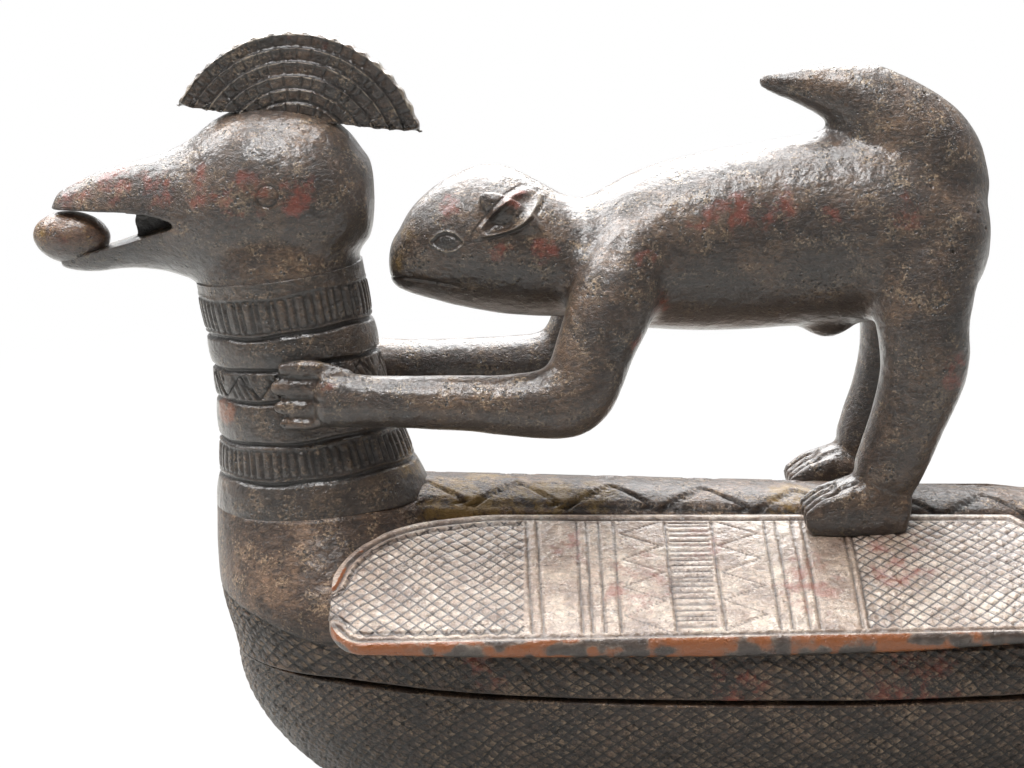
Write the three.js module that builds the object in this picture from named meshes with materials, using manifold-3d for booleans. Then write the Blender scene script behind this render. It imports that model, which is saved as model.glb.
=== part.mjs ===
// Ritual container: a bird-shaped wooden bowl with a lid. The lid carries the bird's neck and
// head, its wings and tail, and a monkey that stands on its back and grips its neck.
// Millimetres, Z up, the bird looks along -X, its left side is -Y. The origin is on the floor,
// under the middle of the hull.

import * as THREE from "three";
import { mergeVertices } from "three/addons/utils/BufferGeometryUtils.js";
import Module from "manifold-3d";

const wasm = await Module();
wasm.setup();

// Clearance between solids that touch
const GAP = 0.3;

// Bowl
const HULL_LENGTH = 436;
const HULL_WIDTH = 184;
const HULL_DEPTH = 103;
const BOWL_WALL = 13;
const BOWL_FLOOR = 14;
const FOOT_LENGTH = 176;
const FOOT_WIDTH = 92;
const FOOT_HEIGHT = 9;
const LIP_THICKNESS = 5;
const LIP_HEIGHT = 5;
const LIP_FIT = 0.8;

// Scales on the bowl's outside, as a coarse lattice of lozenges
const SCALES_ROUND = 48;
const SCALE_LEVELS = 12;
const SCALE_DEPTH = 1.2;

// Lid: an upright side, two slopes up to a ridge, and a breast at the front
const LID_WALL = 13;
const SIDE_HEIGHT = 22;
const SIDE_SWELL = 1;
const SLOPE_RISE = 30;
const RIDGE_WIDTH = 50;
const RIDGE_HEIGHT = 14.5;
const RIDGE_REACH = 152;
const RIDGE_FALL = 6;
const BREAST_OVERHANG = 8;
const BREAST_HEIGHT = 60;
const BREAST_LENGTH = 116;
const BREAST_WIDTH = 130;

// Wings
const WING_SETBACK = 46;
const WING_LENGTH = 342;
const WING_SPAN = 190;
const WING_THICKNESS = 7.5;
const WING_CROWN = 1.5;
const WING_EDGE_RISE = 7;
const WING_EDGE_ROUND = 2.5;
const WING_CORNER = 15;
const WING_FRONT_CURVE = 66;
const WING_SHOULDER = 29;
const WING_REAR_SWEEP = 60;

// Carved lines across the wings, as shares of their length from the front
const WING_LINES = [0.24, 0.345, 0.455, 0.538];
const WING_LINE_WIDTH = 3.6;
const WING_LINE_DEPTH = 1;

// Tail
const TAIL_LENGTH = 168;
const TAIL_OVERHANG = 56;
const TAIL_WIDTH = 118;
const TAIL_THICKNESS = 13;
const TAIL_DROP = 14;
const TAIL_FEATHERS = 7;
const FEATHER_GROOVE = 2.4;

// Bird's neck, wrapped in collars from the breast up
const COLLAR_HEIGHTS = [15.5, 14.7, 16.3, 12.1, 12.3, 17.1];
const COLLAR_GROOVE = 1.2;
const COLLAR_GROOVE_DEPTH = 1.3;
const COLLAR_SWELL = 0.9;
const NECK_BASE_RADIUS = 46.5;
const NECK_WAIST_RADIUS = 34.6;
const NECK_TOP_RADIUS = 35.6;
const NECK_NARROWING = 2.5;
const NECK_LEAN = 16.5;
const NECK_FLATNESS = 0.92;
const NECK_SEAT = 6;

// Bird's head
const HEAD_LENGTH = 137.5;
const HEAD_HEIGHT = 76.5;
const HEAD_WIDTH = 64;
const HEAD_BEHIND_NECK = 40;
const HEAD_SINK = 1.5;
const MOUTH_LENGTH = 57;
const MOUTH_GAPE = 21;
const MOUTH_RISE = 28;
const LOWER_BEAK_SHORTER = 5;
const NUT_LENGTH = 33;
const NUT_HEIGHT = 23;
const NUT_WIDTH = 22;
const NUT_OUT = 10;

// Crest on the bird's head
const CREST_RADIUS = 54.3;
const CREST_THICKNESS = 17;
const CREST_ROWS = 5;
const CREST_ROW_WIDTH = 5.6;
const CREST_ROW_STEP = 1.2;
const CREST_SINK = 24;
const CREST_BACKSET = 7;
const CREST_FRONT_LIFT = 23.5;
const CREST_REAR_LIFT = 12.5;
const CREST_TEETH = 28;
const CREST_TOOTH_DEPTH = 1.4;

// Monkey
const MONKEY_WIDTH = 70;
const BELLY_CLEARANCE = 66.5;
const TORSO_HEIGHT = 85;
const HIND_LEGS_AT = 70;
const RUMP_BEHIND_LEGS = 18;
const SNOUT_GAP = 4.5;
const FACE_LENGTH = 95;
const FACE_HEIGHT = 65;
const FACE_WIDTH = 60;
const FACE_RISE = 6.5;
const FACE_OVERLAP = 11;
const EAR_LENGTH = 34;
const EAR_WIDTH = 13;
const EAR_STAND = 4;
const EAR_RIM = 2.6;
const TAIL_HORN_RISE = 20;
const TAIL_HORN_REACH = 71;
const TAIL_HORN_ROOT = 57;
const BELLY_BUMP = 12;

// Monkey's arms, from the shoulder over the elbow to the hand on the neck
const HAND_RISE = 52;
const HAND_HEIGHT = 26;
const HAND_THICKNESS = 17;
const HAND_SINK = 4;
const PALM_BEHIND_AXIS = 12;
const WRIST_BEHIND_PALM = 16;
const FINGER_LENGTH = 21;
const FINGER_COUNT = 4;
const FINGER_PITCH = 7.3;
const UPPER_ARM_THICKNESS = 33;
const FOREARM_THICKNESS = 25;
const ARM_WIDTH = 27;
const SHOULDER_INSET = 21;
const SHOULDER_SPREAD = 48;
const ELBOW_FORWARD = 27;

// Monkey's hind legs
const LEG_SPREAD = 56;
const LEG_WIDTH = 31;
const THIGH_THICKNESS = 50;
const HOCK_THICKNESS = 38;
const HOCK_HEIGHT = 57;
const ANKLE_THICKNESS = 30;
const ANKLE_FORWARD = 14;
const HEEL_FORWARD = 6;
const PAW_LENGTH = 42;
const PAW_WIDTH = 29;
const PAW_HEIGHT = 21;
const PAW_SINK = 10;
const TOE_COUNT = 4;
const TOE_LENGTH = 17;

// Heights and places that follow
const RIM = FOOT_HEIGHT + HULL_DEPTH;
const HALF_LENGTH = HULL_LENGTH / 2;
const HALF_WIDTH = HULL_WIDTH / 2;
const RIDGE_TOP = RIM + SIDE_HEIGHT + SLOPE_RISE + RIDGE_HEIGHT;
const BREAST_FRONT = -HALF_LENGTH - BREAST_OVERHANG;
const NECK_FOOT = new THREE.Vector3(BREAST_FRONT + NECK_BASE_RADIUS, 0, RIM + BREAST_HEIGHT);
const NECK_HEIGHT =
  COLLAR_HEIGHTS.reduce((sum, height) => sum + height, 0) + (COLLAR_HEIGHTS.length - 1) * COLLAR_GROOVE;
const NECK_TOP = new THREE.Vector3(NECK_FOOT.x - NECK_LEAN, 0, NECK_FOOT.z + NECK_HEIGHT);
const HEAD_BACK = NECK_TOP.x + HEAD_BEHIND_NECK;
const HEAD_BOTTOM = NECK_TOP.z - HEAD_SINK;
const BELLY = RIDGE_TOP + BELLY_CLEARANCE;
const SNOUT = HEAD_BACK + SNOUT_GAP;
const TORSO_FRONT = SNOUT + FACE_LENGTH - FACE_OVERLAP;
const TORSO_BACK = HIND_LEGS_AT + RUMP_BEHIND_LEGS;
const HAND_LEVEL = NECK_FOOT.z + HAND_RISE;

// Fullness of the hull's outline in plan and in section: 2 is an ellipse, more is squarer
const PLAN_FULLNESS = 2.3;
const RIDGE_FULLNESS = 4;
const SECTION_FULLNESS = 2.05;

const HULL_SIDES = 48;
const Y_AXIS = new THREE.Vector3(0, 1, 0);
const FORWARD = new THREE.Vector3(-1, 0, 0);
const BACKWARD = new THREE.Vector3(1, 0, 0);
const LEFT = -1;
const RIGHT = 1;

// A closed geometry as a solid that can be joined and cut
function solidOf(geometry) {
  const bare = new THREE.BufferGeometry().setAttribute("position", geometry.getAttribute("position"));
  if (geometry.index) bare.setIndex(geometry.index);
  const merged = mergeVertices(bare, 1e-5);
  return new wasm.Manifold(
    new wasm.Mesh({
      numProp: 3,
      vertProperties: merged.getAttribute("position").array,
      triVerts: new Uint32Array(merged.index.array),
    }),
  );
}

// A closed solid through a row of rings, shut by a fan to a point at each end
function skin(rings, startPoint, endPoint) {
  const count = rings[0].length;
  const positions = [...rings.flat(), startPoint, endPoint].flatMap((p) => [p.x, p.y, p.z]);
  const start = rings.length * count;
  const end = start + 1;
  const last = (rings.length - 1) * count;
  const faces = [];
  for (let j = 0; j < count; j++) {
    const k = (j + 1) % count;
    for (let i = 0; i < rings.length - 1; i++) {
      const low = i * count;
      const high = low + count;
      faces.push(low + j, low + k, high + k, low + j, high + k, high + j);
    }
    faces.push(start, k, j, end, last + j, last + k);
  }
  const geometry = new THREE.BufferGeometry();
  geometry.setAttribute("position", new THREE.Float32BufferAttribute(positions, 3));
  geometry.setIndex(faces);
  return solidOf(geometry);
}

// Mean of a ring's points
const middleOf = (ring) =>
  ring.reduce((sum, p) => sum.add(p), new THREE.Vector3()).divideScalar(ring.length);

// Unit superellipse at an angle
function superellipse(angle, fullness) {
  const c = Math.cos(angle);
  const s = Math.sin(angle);
  const power = 2 / fullness;
  return [Math.sign(c) * Math.abs(c) ** power, Math.sign(s) * Math.abs(s) ** power];
}

// A smooth body through stations [x, y, z, half width, half height], with rounded ends.
// Each section is square to the path, or to one heading, and its width is level.
// A tip's reach is a share of the end's half height.
function loft(stations, options = {}) {
  const { sides = 12, steps = 1, tips = [0.6, 0.6], fullness = 2, grow = 0, heading } = options;
  const path = new THREE.CatmullRomCurve3(stations.map(([x, y, z]) => new THREE.Vector3(x, y, z)));
  const size = new THREE.CatmullRomCurve3(stations.map(([, , , w, h]) => new THREE.Vector3(w, h, 0)));
  const direction = (t) => (heading ? heading.clone() : path.getTangent(t));
  const ring = (t, shift, scale) => {
    const along = direction(t);
    const across = Y_AXIS.clone().addScaledVector(along, -along.y).normalize();
    const up = new THREE.Vector3().crossVectors(along, across);
    const centre = path.getPoint(t).addScaledVector(along, shift);
    const { x: wide, y: high } = size.getPoint(t);
    return Array.from({ length: sides }, (_, j) => {
      const [c, s] = superellipse((j / sides) * 2 * Math.PI, fullness);
      return centre
        .clone()
        .addScaledVector(across, c * (wide + grow) * scale)
        .addScaledVector(up, s * (high + grow) * scale);
    });
  };
  const reach = [0, 1].map((end) => tips[end] * size.getPoint(end).y + grow);
  const domeAngles = [0.38, 0.72].map((share) => (share * Math.PI) / 2);
  const count = (stations.length - 1) * steps;
  const rings = [
    ...domeAngles.toReversed().map((a) => ring(0, -Math.sin(a) * reach[0], Math.cos(a))),
    ...Array.from({ length: count + 1 }, (_, i) => ring(i / count, 0, 1)),
    ...domeAngles.map((a) => ring(1, Math.sin(a) * reach[1], Math.cos(a))),
  ];
  const startPoint = path.getPoint(0).addScaledVector(direction(0), -reach[0]);
  const endPoint = path.getPoint(1).addScaledVector(direction(1), reach[1]);
  return skin(rings, startPoint, endPoint);
}

// Stations of a body drawn in a box from its outline: each row is
// [share of the length, lower line, upper line, width], the last three as shares of the box
function stationsInBox({ start, end, bottom, height, width }, rows) {
  return rows.map(([along, low, high, wide]) => [
    start + (end - start) * along,
    0,
    bottom + (height * (low + high)) / 2,
    (wide * width) / 2,
    (height * (high - low)) / 2,
  ]);
}

// A body of level slices, each { z, front, back, wide, fullness, cuts }, widest at x = middle.
// A slice's cuts are how far its points lie inward, taken in turn round the slice.
function stack(slices, { middle = 0, sides = HULL_SIDES, fall = 0 } = {}) {
  const rings = slices.map(({ z, front, back, wide, fullness = PLAN_FULLNESS, cuts = [0] }) =>
    Array.from({ length: sides }, (_, j) => {
      const [c, s] = superellipse((j / sides) * 2 * Math.PI, fullness);
      const cut = cuts[j % cuts.length];
      const x = middle + c * ((c < 0 ? middle - front : back - middle) - cut);
      const lift = Math.max(z - RIM, 0) / (RIDGE_TOP - RIM);
      return new THREE.Vector3(x, s * (wide - cut), z - fall * lift * (x / HALF_LENGTH));
    }),
  );
  return skin(rings, middleOf(rings[0]), middleOf(rings.at(-1)));
}

// A flat outline of [x, z] points made into a plate, centred on y = 0
function plate(shape, thickness, curveSegments = 12) {
  const geometry = new THREE.ExtrudeGeometry(shape, {
    depth: thickness,
    bevelEnabled: false,
    curveSegments,
  });
  geometry.translate(0, 0, -thickness / 2);
  geometry.rotateX(Math.PI / 2);
  return solidOf(geometry);
}

// An ellipsoid at a point, turned about Y
function ellipsoid(centre, halfSizes, turn = 0, detail = [14, 9]) {
  const geometry = new THREE.SphereGeometry(1, ...detail);
  geometry.scale(...halfSizes);
  geometry.rotateY(turn);
  geometry.translate(centre.x, centre.y, centre.z);
  return solidOf(geometry);
}

// Cuts the neighbours out of a piece, so that it seats on them
const seat = (piece, ...neighbours) => neighbours.reduce((left, other) => left.subtract(other), piece);

// Half length of a hull slice as a share of the rim's, at a share of the depth below the rim
const hullShare = (down) => (1 - down ** SECTION_FULLNESS) ** (1 / SECTION_FULLNESS);

function hullSlices(inset, depth, shares) {
  return shares.map((down) => ({
    z: RIM - depth * down,
    front: (-HALF_LENGTH + inset) * hullShare(down),
    back: (HALF_LENGTH - inset) * hullShare(down),
    wide: (HALF_WIDTH - inset) * hullShare(down),
  }));
}

// A level ring-shaped or solid slab with the hull's outline, inset from the rim
const hullSlab = (inset, bottom, top) =>
  stack(
    [bottom, top].map((z) => ({
      z,
      front: -HALF_LENGTH + inset,
      back: HALF_LENGTH - inset,
      wide: HALF_WIDTH - inset,
    })),
  );

// Outside of the bowl: a smooth edge at the rim, and below it levels whose points lie out and in
// by turns, so that the faces between them are lozenges
function scalyHull() {
  const levels = Array.from({ length: SCALE_LEVELS }, (_, i) => 1 - (i + 0.4) / SCALE_LEVELS);
  const shares = [...levels.map((level) => Math.sin((level * Math.PI) / 2)), 0];
  const slices = hullSlices(0, HULL_DEPTH, shares).map((slice, i) => {
    const scaled = i > 0 && i < SCALE_LEVELS;
    const cuts = i % 2 ? [0, SCALE_DEPTH] : [SCALE_DEPTH, 0];
    return scaled ? { ...slice, cuts } : slice;
  });
  return stack(slices, { sides: SCALES_ROUND * 2 });
}

function bowl() {
  const foot = stack(
    [0, FOOT_HEIGHT * 2].map((z) => ({
      z,
      front: -FOOT_LENGTH / 2,
      back: FOOT_LENGTH / 2,
      wide: FOOT_WIDTH / 2,
    })),
  );
  const lip = hullSlab(BOWL_WALL - LIP_THICKNESS, RIM - LIP_HEIGHT, RIM + LIP_HEIGHT);
  const room = stack([
    ...hullSlices(BOWL_WALL, HULL_DEPTH - BOWL_FLOOR, [0.985, 0.9, 0.76, 0.58, 0.38, 0.18, 0]),
    {
      z: RIM + LIP_HEIGHT * 2,
      front: -HALF_LENGTH + BOWL_WALL,
      back: HALF_LENGTH - BOWL_WALL,
      wide: HALF_WIDTH - BOWL_WALL,
    },
  ]);
  return scalyHull().add(foot).add(lip).subtract(room);
}

// Outside of the lid without its hollow: the roof joined with the breast
function lidBody(grow = 0) {
  const slopeTop = RIM + SIDE_HEIGHT + SLOPE_RISE;
  const ridgeHalf = RIDGE_WIDTH / 2;
  const slice = (z, front, back, wide, fullness = PLAN_FULLNESS) => ({
    z: z > RIM + GAP ? z + grow : z - grow,
    front: front - grow,
    back: back + grow,
    wide: wide + grow,
    fullness,
  });
  const ridgeSlice = (up, longer, narrow) =>
    slice(
      slopeTop + RIDGE_HEIGHT * up,
      -HALF_LENGTH,
      RIDGE_REACH + longer,
      ridgeHalf * narrow,
      RIDGE_FULLNESS,
    );
  const roof = stack(
    [
      slice(RIM + GAP, -HALF_LENGTH, HALF_LENGTH, HALF_WIDTH),
      slice(RIM + SIDE_HEIGHT / 2, -HALF_LENGTH, HALF_LENGTH, HALF_WIDTH + SIDE_SWELL),
      slice(RIM + SIDE_HEIGHT, -HALF_LENGTH, HALF_LENGTH - SIDE_SWELL, HALF_WIDTH),
      ridgeSlice(0, RIDGE_HEIGHT, 1),
      ridgeSlice(0.45, 0, 0.96),
      ridgeSlice(0.75, 0, 0.78),
      ridgeSlice(0.93, 0, 0.5),
      ridgeSlice(1, 0, 0.2),
    ],
    { fall: RIDGE_FALL },
  );
  const breastRows = [
    [0, 0, 0.85, 1],
    [0.22, 0.5, 0.95, 1],
    [0.42, 0.85, 1, 1],
    [0.68, 1, 0.9, 0.92],
    [0.88, 1, 0.76, 0.84],
  ];
  const breast = stack(
    [
      ...breastRows.map(([up, out, wide, long]) =>
        slice(
          RIM + GAP + (BREAST_HEIGHT - GAP) * up,
          -HALF_LENGTH - BREAST_OVERHANG * out,
          BREAST_FRONT + BREAST_LENGTH * long,
          (BREAST_WIDTH / 2) * wide,
          2,
        ),
      ),
      slice(
        RIM + BREAST_HEIGHT,
        BREAST_FRONT,
        BREAST_FRONT + NECK_BASE_RADIUS * 2,
        NECK_BASE_RADIUS * NECK_FLATNESS,
        2,
      ),
    ],
    { middle: NECK_FOOT.x, sides: 48 },
  );
  return roof.add(breast);
}

// The lid's hollow, wide enough at the bottom for the bowl's lip
function lidRoom() {
  const rebate = hullSlab(BOWL_WALL - LIP_THICKNESS - LIP_FIT, RIM - 1, RIM + LIP_HEIGHT + LIP_FIT);
  const edge = (z) => ({
    z,
    front: -HALF_LENGTH + LID_WALL,
    back: HALF_LENGTH - LID_WALL,
    wide: HALF_WIDTH - LID_WALL,
  });
  const crown = {
    z: RIM + SIDE_HEIGHT + SLOPE_RISE - LID_WALL * 0.7,
    front: NECK_FOOT.x + LID_WALL * 2.5,
    back: RIDGE_REACH,
    wide: RIDGE_WIDTH / 2 - LID_WALL * 0.6,
    fullness: RIDGE_FULLNESS,
  };
  const room = stack([edge(RIM - 1), edge(RIM + SIDE_HEIGHT - LID_WALL / 2), crown]);
  return room.add(rebate);
}

// Height of the lid's slope at a distance from the middle line
const slopeAt = (y) =>
  RIM + SIDE_HEIGHT + (SLOPE_RISE * (HALF_WIDTH - y)) / (HALF_WIDTH - RIDGE_WIDTH / 2);

const WING_FRONT = -HALF_LENGTH + WING_SETBACK;

// A slab on the lid's slope with a rounded outer edge and lines across its top, cut to the
// wing's outline
function wing(side, grow = 0) {
  const inner = RIDGE_WIDTH / 2 + GAP - grow;
  const outer = WING_SPAN / 2 + grow;
  const rear = WING_FRONT + WING_LENGTH + grow;
  const front = WING_FRONT - grow;
  const sectionAt = ([x, cut]) => {
    const rise = WING_EDGE_RISE * ((x - WING_FRONT) / WING_LENGTH - 0.5);
    const edgeTop = slopeAt(WING_SPAN / 2) + WING_THICKNESS + rise + grow;
    const edgeBottom = edgeTop - WING_THICKNESS - 2 * grow;
    const innerTop = slopeAt(RIDGE_WIDTH / 2) + WING_THICKNESS + grow;
    const topAt = (share) =>
      innerTop + (edgeTop - innerTop) * share + WING_CROWN * 4 * share * (1 - share) - cut;
    const across = (share) => inner + (outer - WING_EDGE_ROUND - inner) * share;
    const outline = [
      [inner, edgeBottom + (innerTop - edgeBottom) * 0.3],
      [outer - WING_EDGE_ROUND, edgeBottom],
      [outer, edgeBottom + WING_EDGE_ROUND],
      [outer, edgeTop - WING_EDGE_ROUND - cut],
      [outer - WING_EDGE_ROUND * 0.3, edgeTop - WING_EDGE_ROUND * 0.3 - cut],
      ...[1, 0.75, 0.5, 0.25, 0].map((share) => [across(share), topAt(share)]),
    ];
    const ring = outline.map(([y, z]) => new THREE.Vector3(x, side * y, z));
    return side > 0 ? ring : ring.reverse();
  };
  const lines = WING_LINES.flatMap((share) => {
    const x = WING_FRONT + WING_LENGTH * share;
    return [
      [x - WING_LINE_WIDTH / 2, 0],
      [x, WING_LINE_DEPTH],
      [x + WING_LINE_WIDTH / 2, 0],
    ];
  });
  const rings = [[front - 1, 0], ...lines, [rear + 1, 0]].map(sectionAt);
  const slab = skin(rings, middleOf(rings[0]), middleOf(rings.at(-1)));

  const outline = new THREE.Shape();
  outline.moveTo(front + WING_FRONT_CURVE, inner);
  outline.bezierCurveTo(
    front + WING_FRONT_CURVE * 0.33,
    inner + 3,
    front + 1,
    inner + WING_SHOULDER * 0.9,
    front,
    inner + WING_SHOULDER * 1.4,
  );
  outline.lineTo(front + 1.5, outer - WING_CORNER);
  outline.quadraticCurveTo(front + 2.5, outer, front + WING_CORNER, outer);
  outline.lineTo(rear - WING_CORNER, outer);
  outline.quadraticCurveTo(rear, outer, rear - WING_CORNER * 0.3, outer - WING_CORNER * 0.8);
  outline.lineTo(rear - WING_REAR_SWEEP, inner);
  const geometry = new THREE.ExtrudeGeometry(outline, {
    depth: RIDGE_TOP - RIM,
    bevelEnabled: false,
    curveSegments: 10,
  });
  geometry.translate(0, 0, RIM);
  const column = side > 0 ? solidOf(geometry) : mirrored(geometry);
  return slab.intersect(column);
}

// The same closed geometry on the other side of the middle plane
function mirrored(geometry) {
  const flipped = geometry.index ? geometry.toNonIndexed() : geometry.clone();
  const position = flipped.getAttribute("position");
  for (let i = 0; i < position.count; i += 3) {
    const corners = [0, 1, 2].map((k) => new THREE.Vector3().fromBufferAttribute(position, i + k));
    [corners[0], corners[2], corners[1]].forEach((p, k) => position.setXYZ(i + k, p.x, -p.y, p.z));
  }
  return solidOf(flipped);
}

// A flat fan behind the ridge, its feathers parted by grooves that spread from the root
function birdTail() {
  const end = HALF_LENGTH + TAIL_OVERHANG;
  const root = end - TAIL_LENGTH;
  const top = RIDGE_TOP - RIDGE_FALL - TAIL_THICKNESS;
  const rows = [
    [0, 0, 0.3, 1],
    [0.25, 0.15, 0.62, 1],
    [0.5, 0.5, 0.86, 0.9],
    [0.75, 0.85, 1, 0.8],
    [0.96, 1, 0.86, 0.55],
  ];
  const stations = rows.map(([along, drop, wide, thick]) => [
    root + TAIL_LENGTH * along,
    0,
    top - TAIL_DROP * drop,
    (TAIL_WIDTH / 2) * wide,
    (TAIL_THICKNESS / 2) * thick,
  ]);
  const fan = loft(stations, { sides: 24, fullness: 3, tips: [0.5, 1], heading: BACKWARD });
  const grooves = Array.from({ length: TAIL_FEATHERS - 1 }, (_, i) => {
    const share = (i + 1) / TAIL_FEATHERS - 0.5;
    const farther = [0.45, 1.1].map((along) => [
      root + TAIL_LENGTH * along,
      TAIL_WIDTH * share * (0.45 + along * 0.5),
      top + TAIL_THICKNESS * (along < 1 ? 0.45 : 0.32) - TAIL_DROP * (along < 1 ? 0.42 : 1),
      FEATHER_GROOVE / 2,
      FEATHER_GROOVE,
    ]);
    return loft(farther, { sides: 6, steps: 1 });
  });
  return seat(fan, ...grooves);
}

// Radius of the neck fore and aft, at a share of its height
function neckRadius(up) {
  const low = (NECK_BASE_RADIUS - NECK_WAIST_RADIUS) * (1 - up) ** NECK_NARROWING;
  const high = (NECK_TOP_RADIUS - NECK_WAIST_RADIUS) * up ** NECK_NARROWING;
  return NECK_WAIST_RADIUS + low + high;
}

// Point on the neck's axis, at a share of its height
const neckAxis = (up) => new THREE.Vector3().lerpVectors(NECK_FOOT, NECK_TOP, up);

// How far the neck's flank lies from the middle plane at a place
function neckFlank(x, z) {
  const up = (z - NECK_FOOT.z) / NECK_HEIGHT;
  const radius = neckRadius(up) + COLLAR_SWELL;
  const off = Math.min(Math.abs(x - neckAxis(up).x) / radius, 0.95);
  return radius * NECK_FLATNESS * Math.sqrt(1 - off * off);
}

// A solid round the neck's axis through rings of [height, extra radius], tilting toward the top
function neckRings(rows) {
  const lean = Math.atan2(NECK_LEAN, NECK_HEIGHT);
  const sides = 24;
  const rings = rows.map(([height, extra]) => {
    const up = height / NECK_HEIGHT;
    const centre = neckAxis(up);
    const radius = neckRadius(Math.min(Math.max(up, 0), 1)) + extra;
    const tilt = lean * (0.5 + 0.25 * up);
    return Array.from({ length: sides }, (_, j) => {
      const angle = (j / sides) * 2 * Math.PI;
      const along = radius * Math.cos(angle);
      return new THREE.Vector3(
        centre.x + along * Math.cos(tilt),
        radius * NECK_FLATNESS * Math.sin(angle),
        centre.z + along * Math.sin(tilt),
      );
    });
  });
  return skin(rings, middleOf(rings[0]), middleOf(rings.at(-1)));
}

// Six swelling collars, one above the other
function birdNeck(grow = 0) {
  const rows = [[-NECK_SEAT - grow, grow]];
  let height = 0;
  COLLAR_HEIGHTS.forEach((tall, i) => {
    if (i > 0) rows.push([height - COLLAR_GROOVE / 2, grow - COLLAR_GROOVE_DEPTH]);
    rows.push([height, grow], [height + tall / 2, COLLAR_SWELL + grow], [height + tall, grow]);
    height += tall + COLLAR_GROOVE;
  });
  rows.push([NECK_HEIGHT + grow, grow - COLLAR_GROOVE_DEPTH]);
  return neckRings(rows);
}

const BEAK_TIP = HEAD_BACK - HEAD_LENGTH;
const MOUTH_CORNER = new THREE.Vector2(BEAK_TIP + MOUTH_LENGTH, HEAD_BOTTOM + MOUTH_RISE);

// Skull and beak in one flowing body, with the open mouth cut through the beak
function birdHead(grow = 0) {
  const rows = [
    [0.025, 0.25, 0.73, 0.55],
    [0.083, 0.12, 0.865, 0.8],
    [0.17, 0.03, 0.96, 0.95],
    [0.28, 0, 1, 1],
    [0.388, 0, 0.993, 0.98],
    [0.483, 0, 0.92, 0.9],
    [0.563, 0.035, 0.81, 0.74],
    [0.65, 0.08, 0.735, 0.56],
    [0.752, 0.092, 0.685, 0.45],
    [0.853, 0.07, 0.63, 0.37],
    [0.94, 0.08, 0.55, 0.28],
  ];
  const box = {
    start: HEAD_BACK,
    end: BEAK_TIP,
    bottom: HEAD_BOTTOM,
    height: HEAD_HEIGHT,
    width: HEAD_WIDTH,
  };
  const skull = loft(stationsInBox(box, rows), {
    sides: 20,
    tips: [0.18, 0.45],
    heading: FORWARD,
    grow,
  });
  const nape = neckRings([
    [NECK_HEIGHT - NECK_SEAT / 2, -1 + grow],
    [NECK_HEIGHT + NECK_SEAT, -0.5 + grow],
    [NECK_HEIGHT + NECK_SEAT * 3, -2 + grow],
    [NECK_HEIGHT + NECK_SEAT * 4, -NECK_SEAT + grow],
  ]);

  const mouth = new THREE.Shape();
  const open = (along, up) => [MOUTH_CORNER.x - MOUTH_LENGTH * along, MOUTH_CORNER.y + MOUTH_GAPE * up];
  mouth.moveTo(...open(0, 0));
  mouth.quadraticCurveTo(...open(0.2, 0.18), ...open(0.4, 0.19));
  mouth.lineTo(...open(1.3, 0.2));
  mouth.lineTo(...open(1.3, -3));
  mouth.lineTo(MOUTH_CORNER.x - MOUTH_LENGTH + LOWER_BEAK_SHORTER, open(0, -3)[1]);
  mouth.lineTo(MOUTH_CORNER.x - MOUTH_LENGTH + LOWER_BEAK_SHORTER, open(0, -0.78)[1]);
  mouth.quadraticCurveTo(...open(0.4, -0.36), ...open(0, 0));
  return skull.add(nape).subtract(plate(mouth, HEAD_WIDTH));
}

function nut(grow = 0) {
  const centre = new THREE.Vector3(BEAK_TIP + NUT_OUT, 0, MOUTH_CORNER.y - MOUTH_GAPE * 0.35);
  const sizes = [NUT_LENGTH, NUT_WIDTH, NUT_HEIGHT].map((size) => size / 2 + grow);
  return ellipsoid(centre, sizes, THREE.MathUtils.degToRad(-4));
}

// A half disc on the skull: each row inward is a step thicker, and the rim is toothed
function crest() {
  const centre = new THREE.Vector2(NECK_TOP.x + CREST_BACKSET, HEAD_BOTTOM + HEAD_HEIGHT - CREST_SINK);
  const frontAngle = Math.PI - Math.asin(CREST_FRONT_LIFT / CREST_RADIUS);
  const rearAngle = Math.asin(CREST_REAR_LIFT / CREST_RADIUS);
  const middle = (frontAngle + rearAngle) / 2;
  const baseDistance = CREST_RADIUS * Math.cos((frontAngle - rearAngle) / 2);
  const rows = Array.from({ length: CREST_ROWS }, (_, row) => {
    const radius = CREST_RADIUS - row * CREST_ROW_WIDTH;
    const halfAngle = Math.acos(baseDistance / radius);
    const segments = row === 0 ? CREST_TEETH * 2 : 12;
    const outline = Array.from({ length: segments + 1 }, (_, i) => {
      const angle = middle + halfAngle * (1 - (2 * i) / segments);
      const reach = radius - (row === 0 && i % 2 ? CREST_TOOTH_DEPTH : 0);
      return new THREE.Vector2(centre.x + reach * Math.cos(angle), centre.y + reach * Math.sin(angle));
    });
    const thickness = CREST_THICKNESS - 2 * CREST_ROW_STEP * (CREST_ROWS - 1 - row);
    return plate(new THREE.Shape(outline), thickness);
  });
  return rows.reduce((joined, next) => joined.add(next));
}

function monkeyTorso(grow = 0) {
  const rows = [
    [0, 0.08, 0.68, 0.75],
    [0.136, 0.02, 0.81, 0.92],
    [0.3, 0, 0.895, 0.93],
    [0.46, 0.01, 0.947, 0.88],
    [0.62, 0.035, 0.99, 0.9],
    [0.82, 0.06, 0.98, 1],
    [0.98, 0.15, 0.82, 0.95],
  ];
  const box = {
    start: TORSO_FRONT,
    end: TORSO_BACK,
    bottom: BELLY,
    height: TORSO_HEIGHT,
    width: MONKEY_WIDTH,
  };
  const trunk = loft(stationsInBox(box, rows), {
    sides: 20,
    steps: 2,
    tips: [0.5, 0.57],
    fullness: 2.1,
    heading: BACKWARD,
    grow,
  });
  const bump = new THREE.Vector3(HIND_LEGS_AT - BELLY_BUMP * 3, 0, BELLY + BELLY_BUMP * 0.3);
  return trunk.add(ellipsoid(bump, [BELLY_BUMP, BELLY_BUMP * 0.6, BELLY_BUMP * 0.6], 0, [10, 6]));
}

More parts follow.
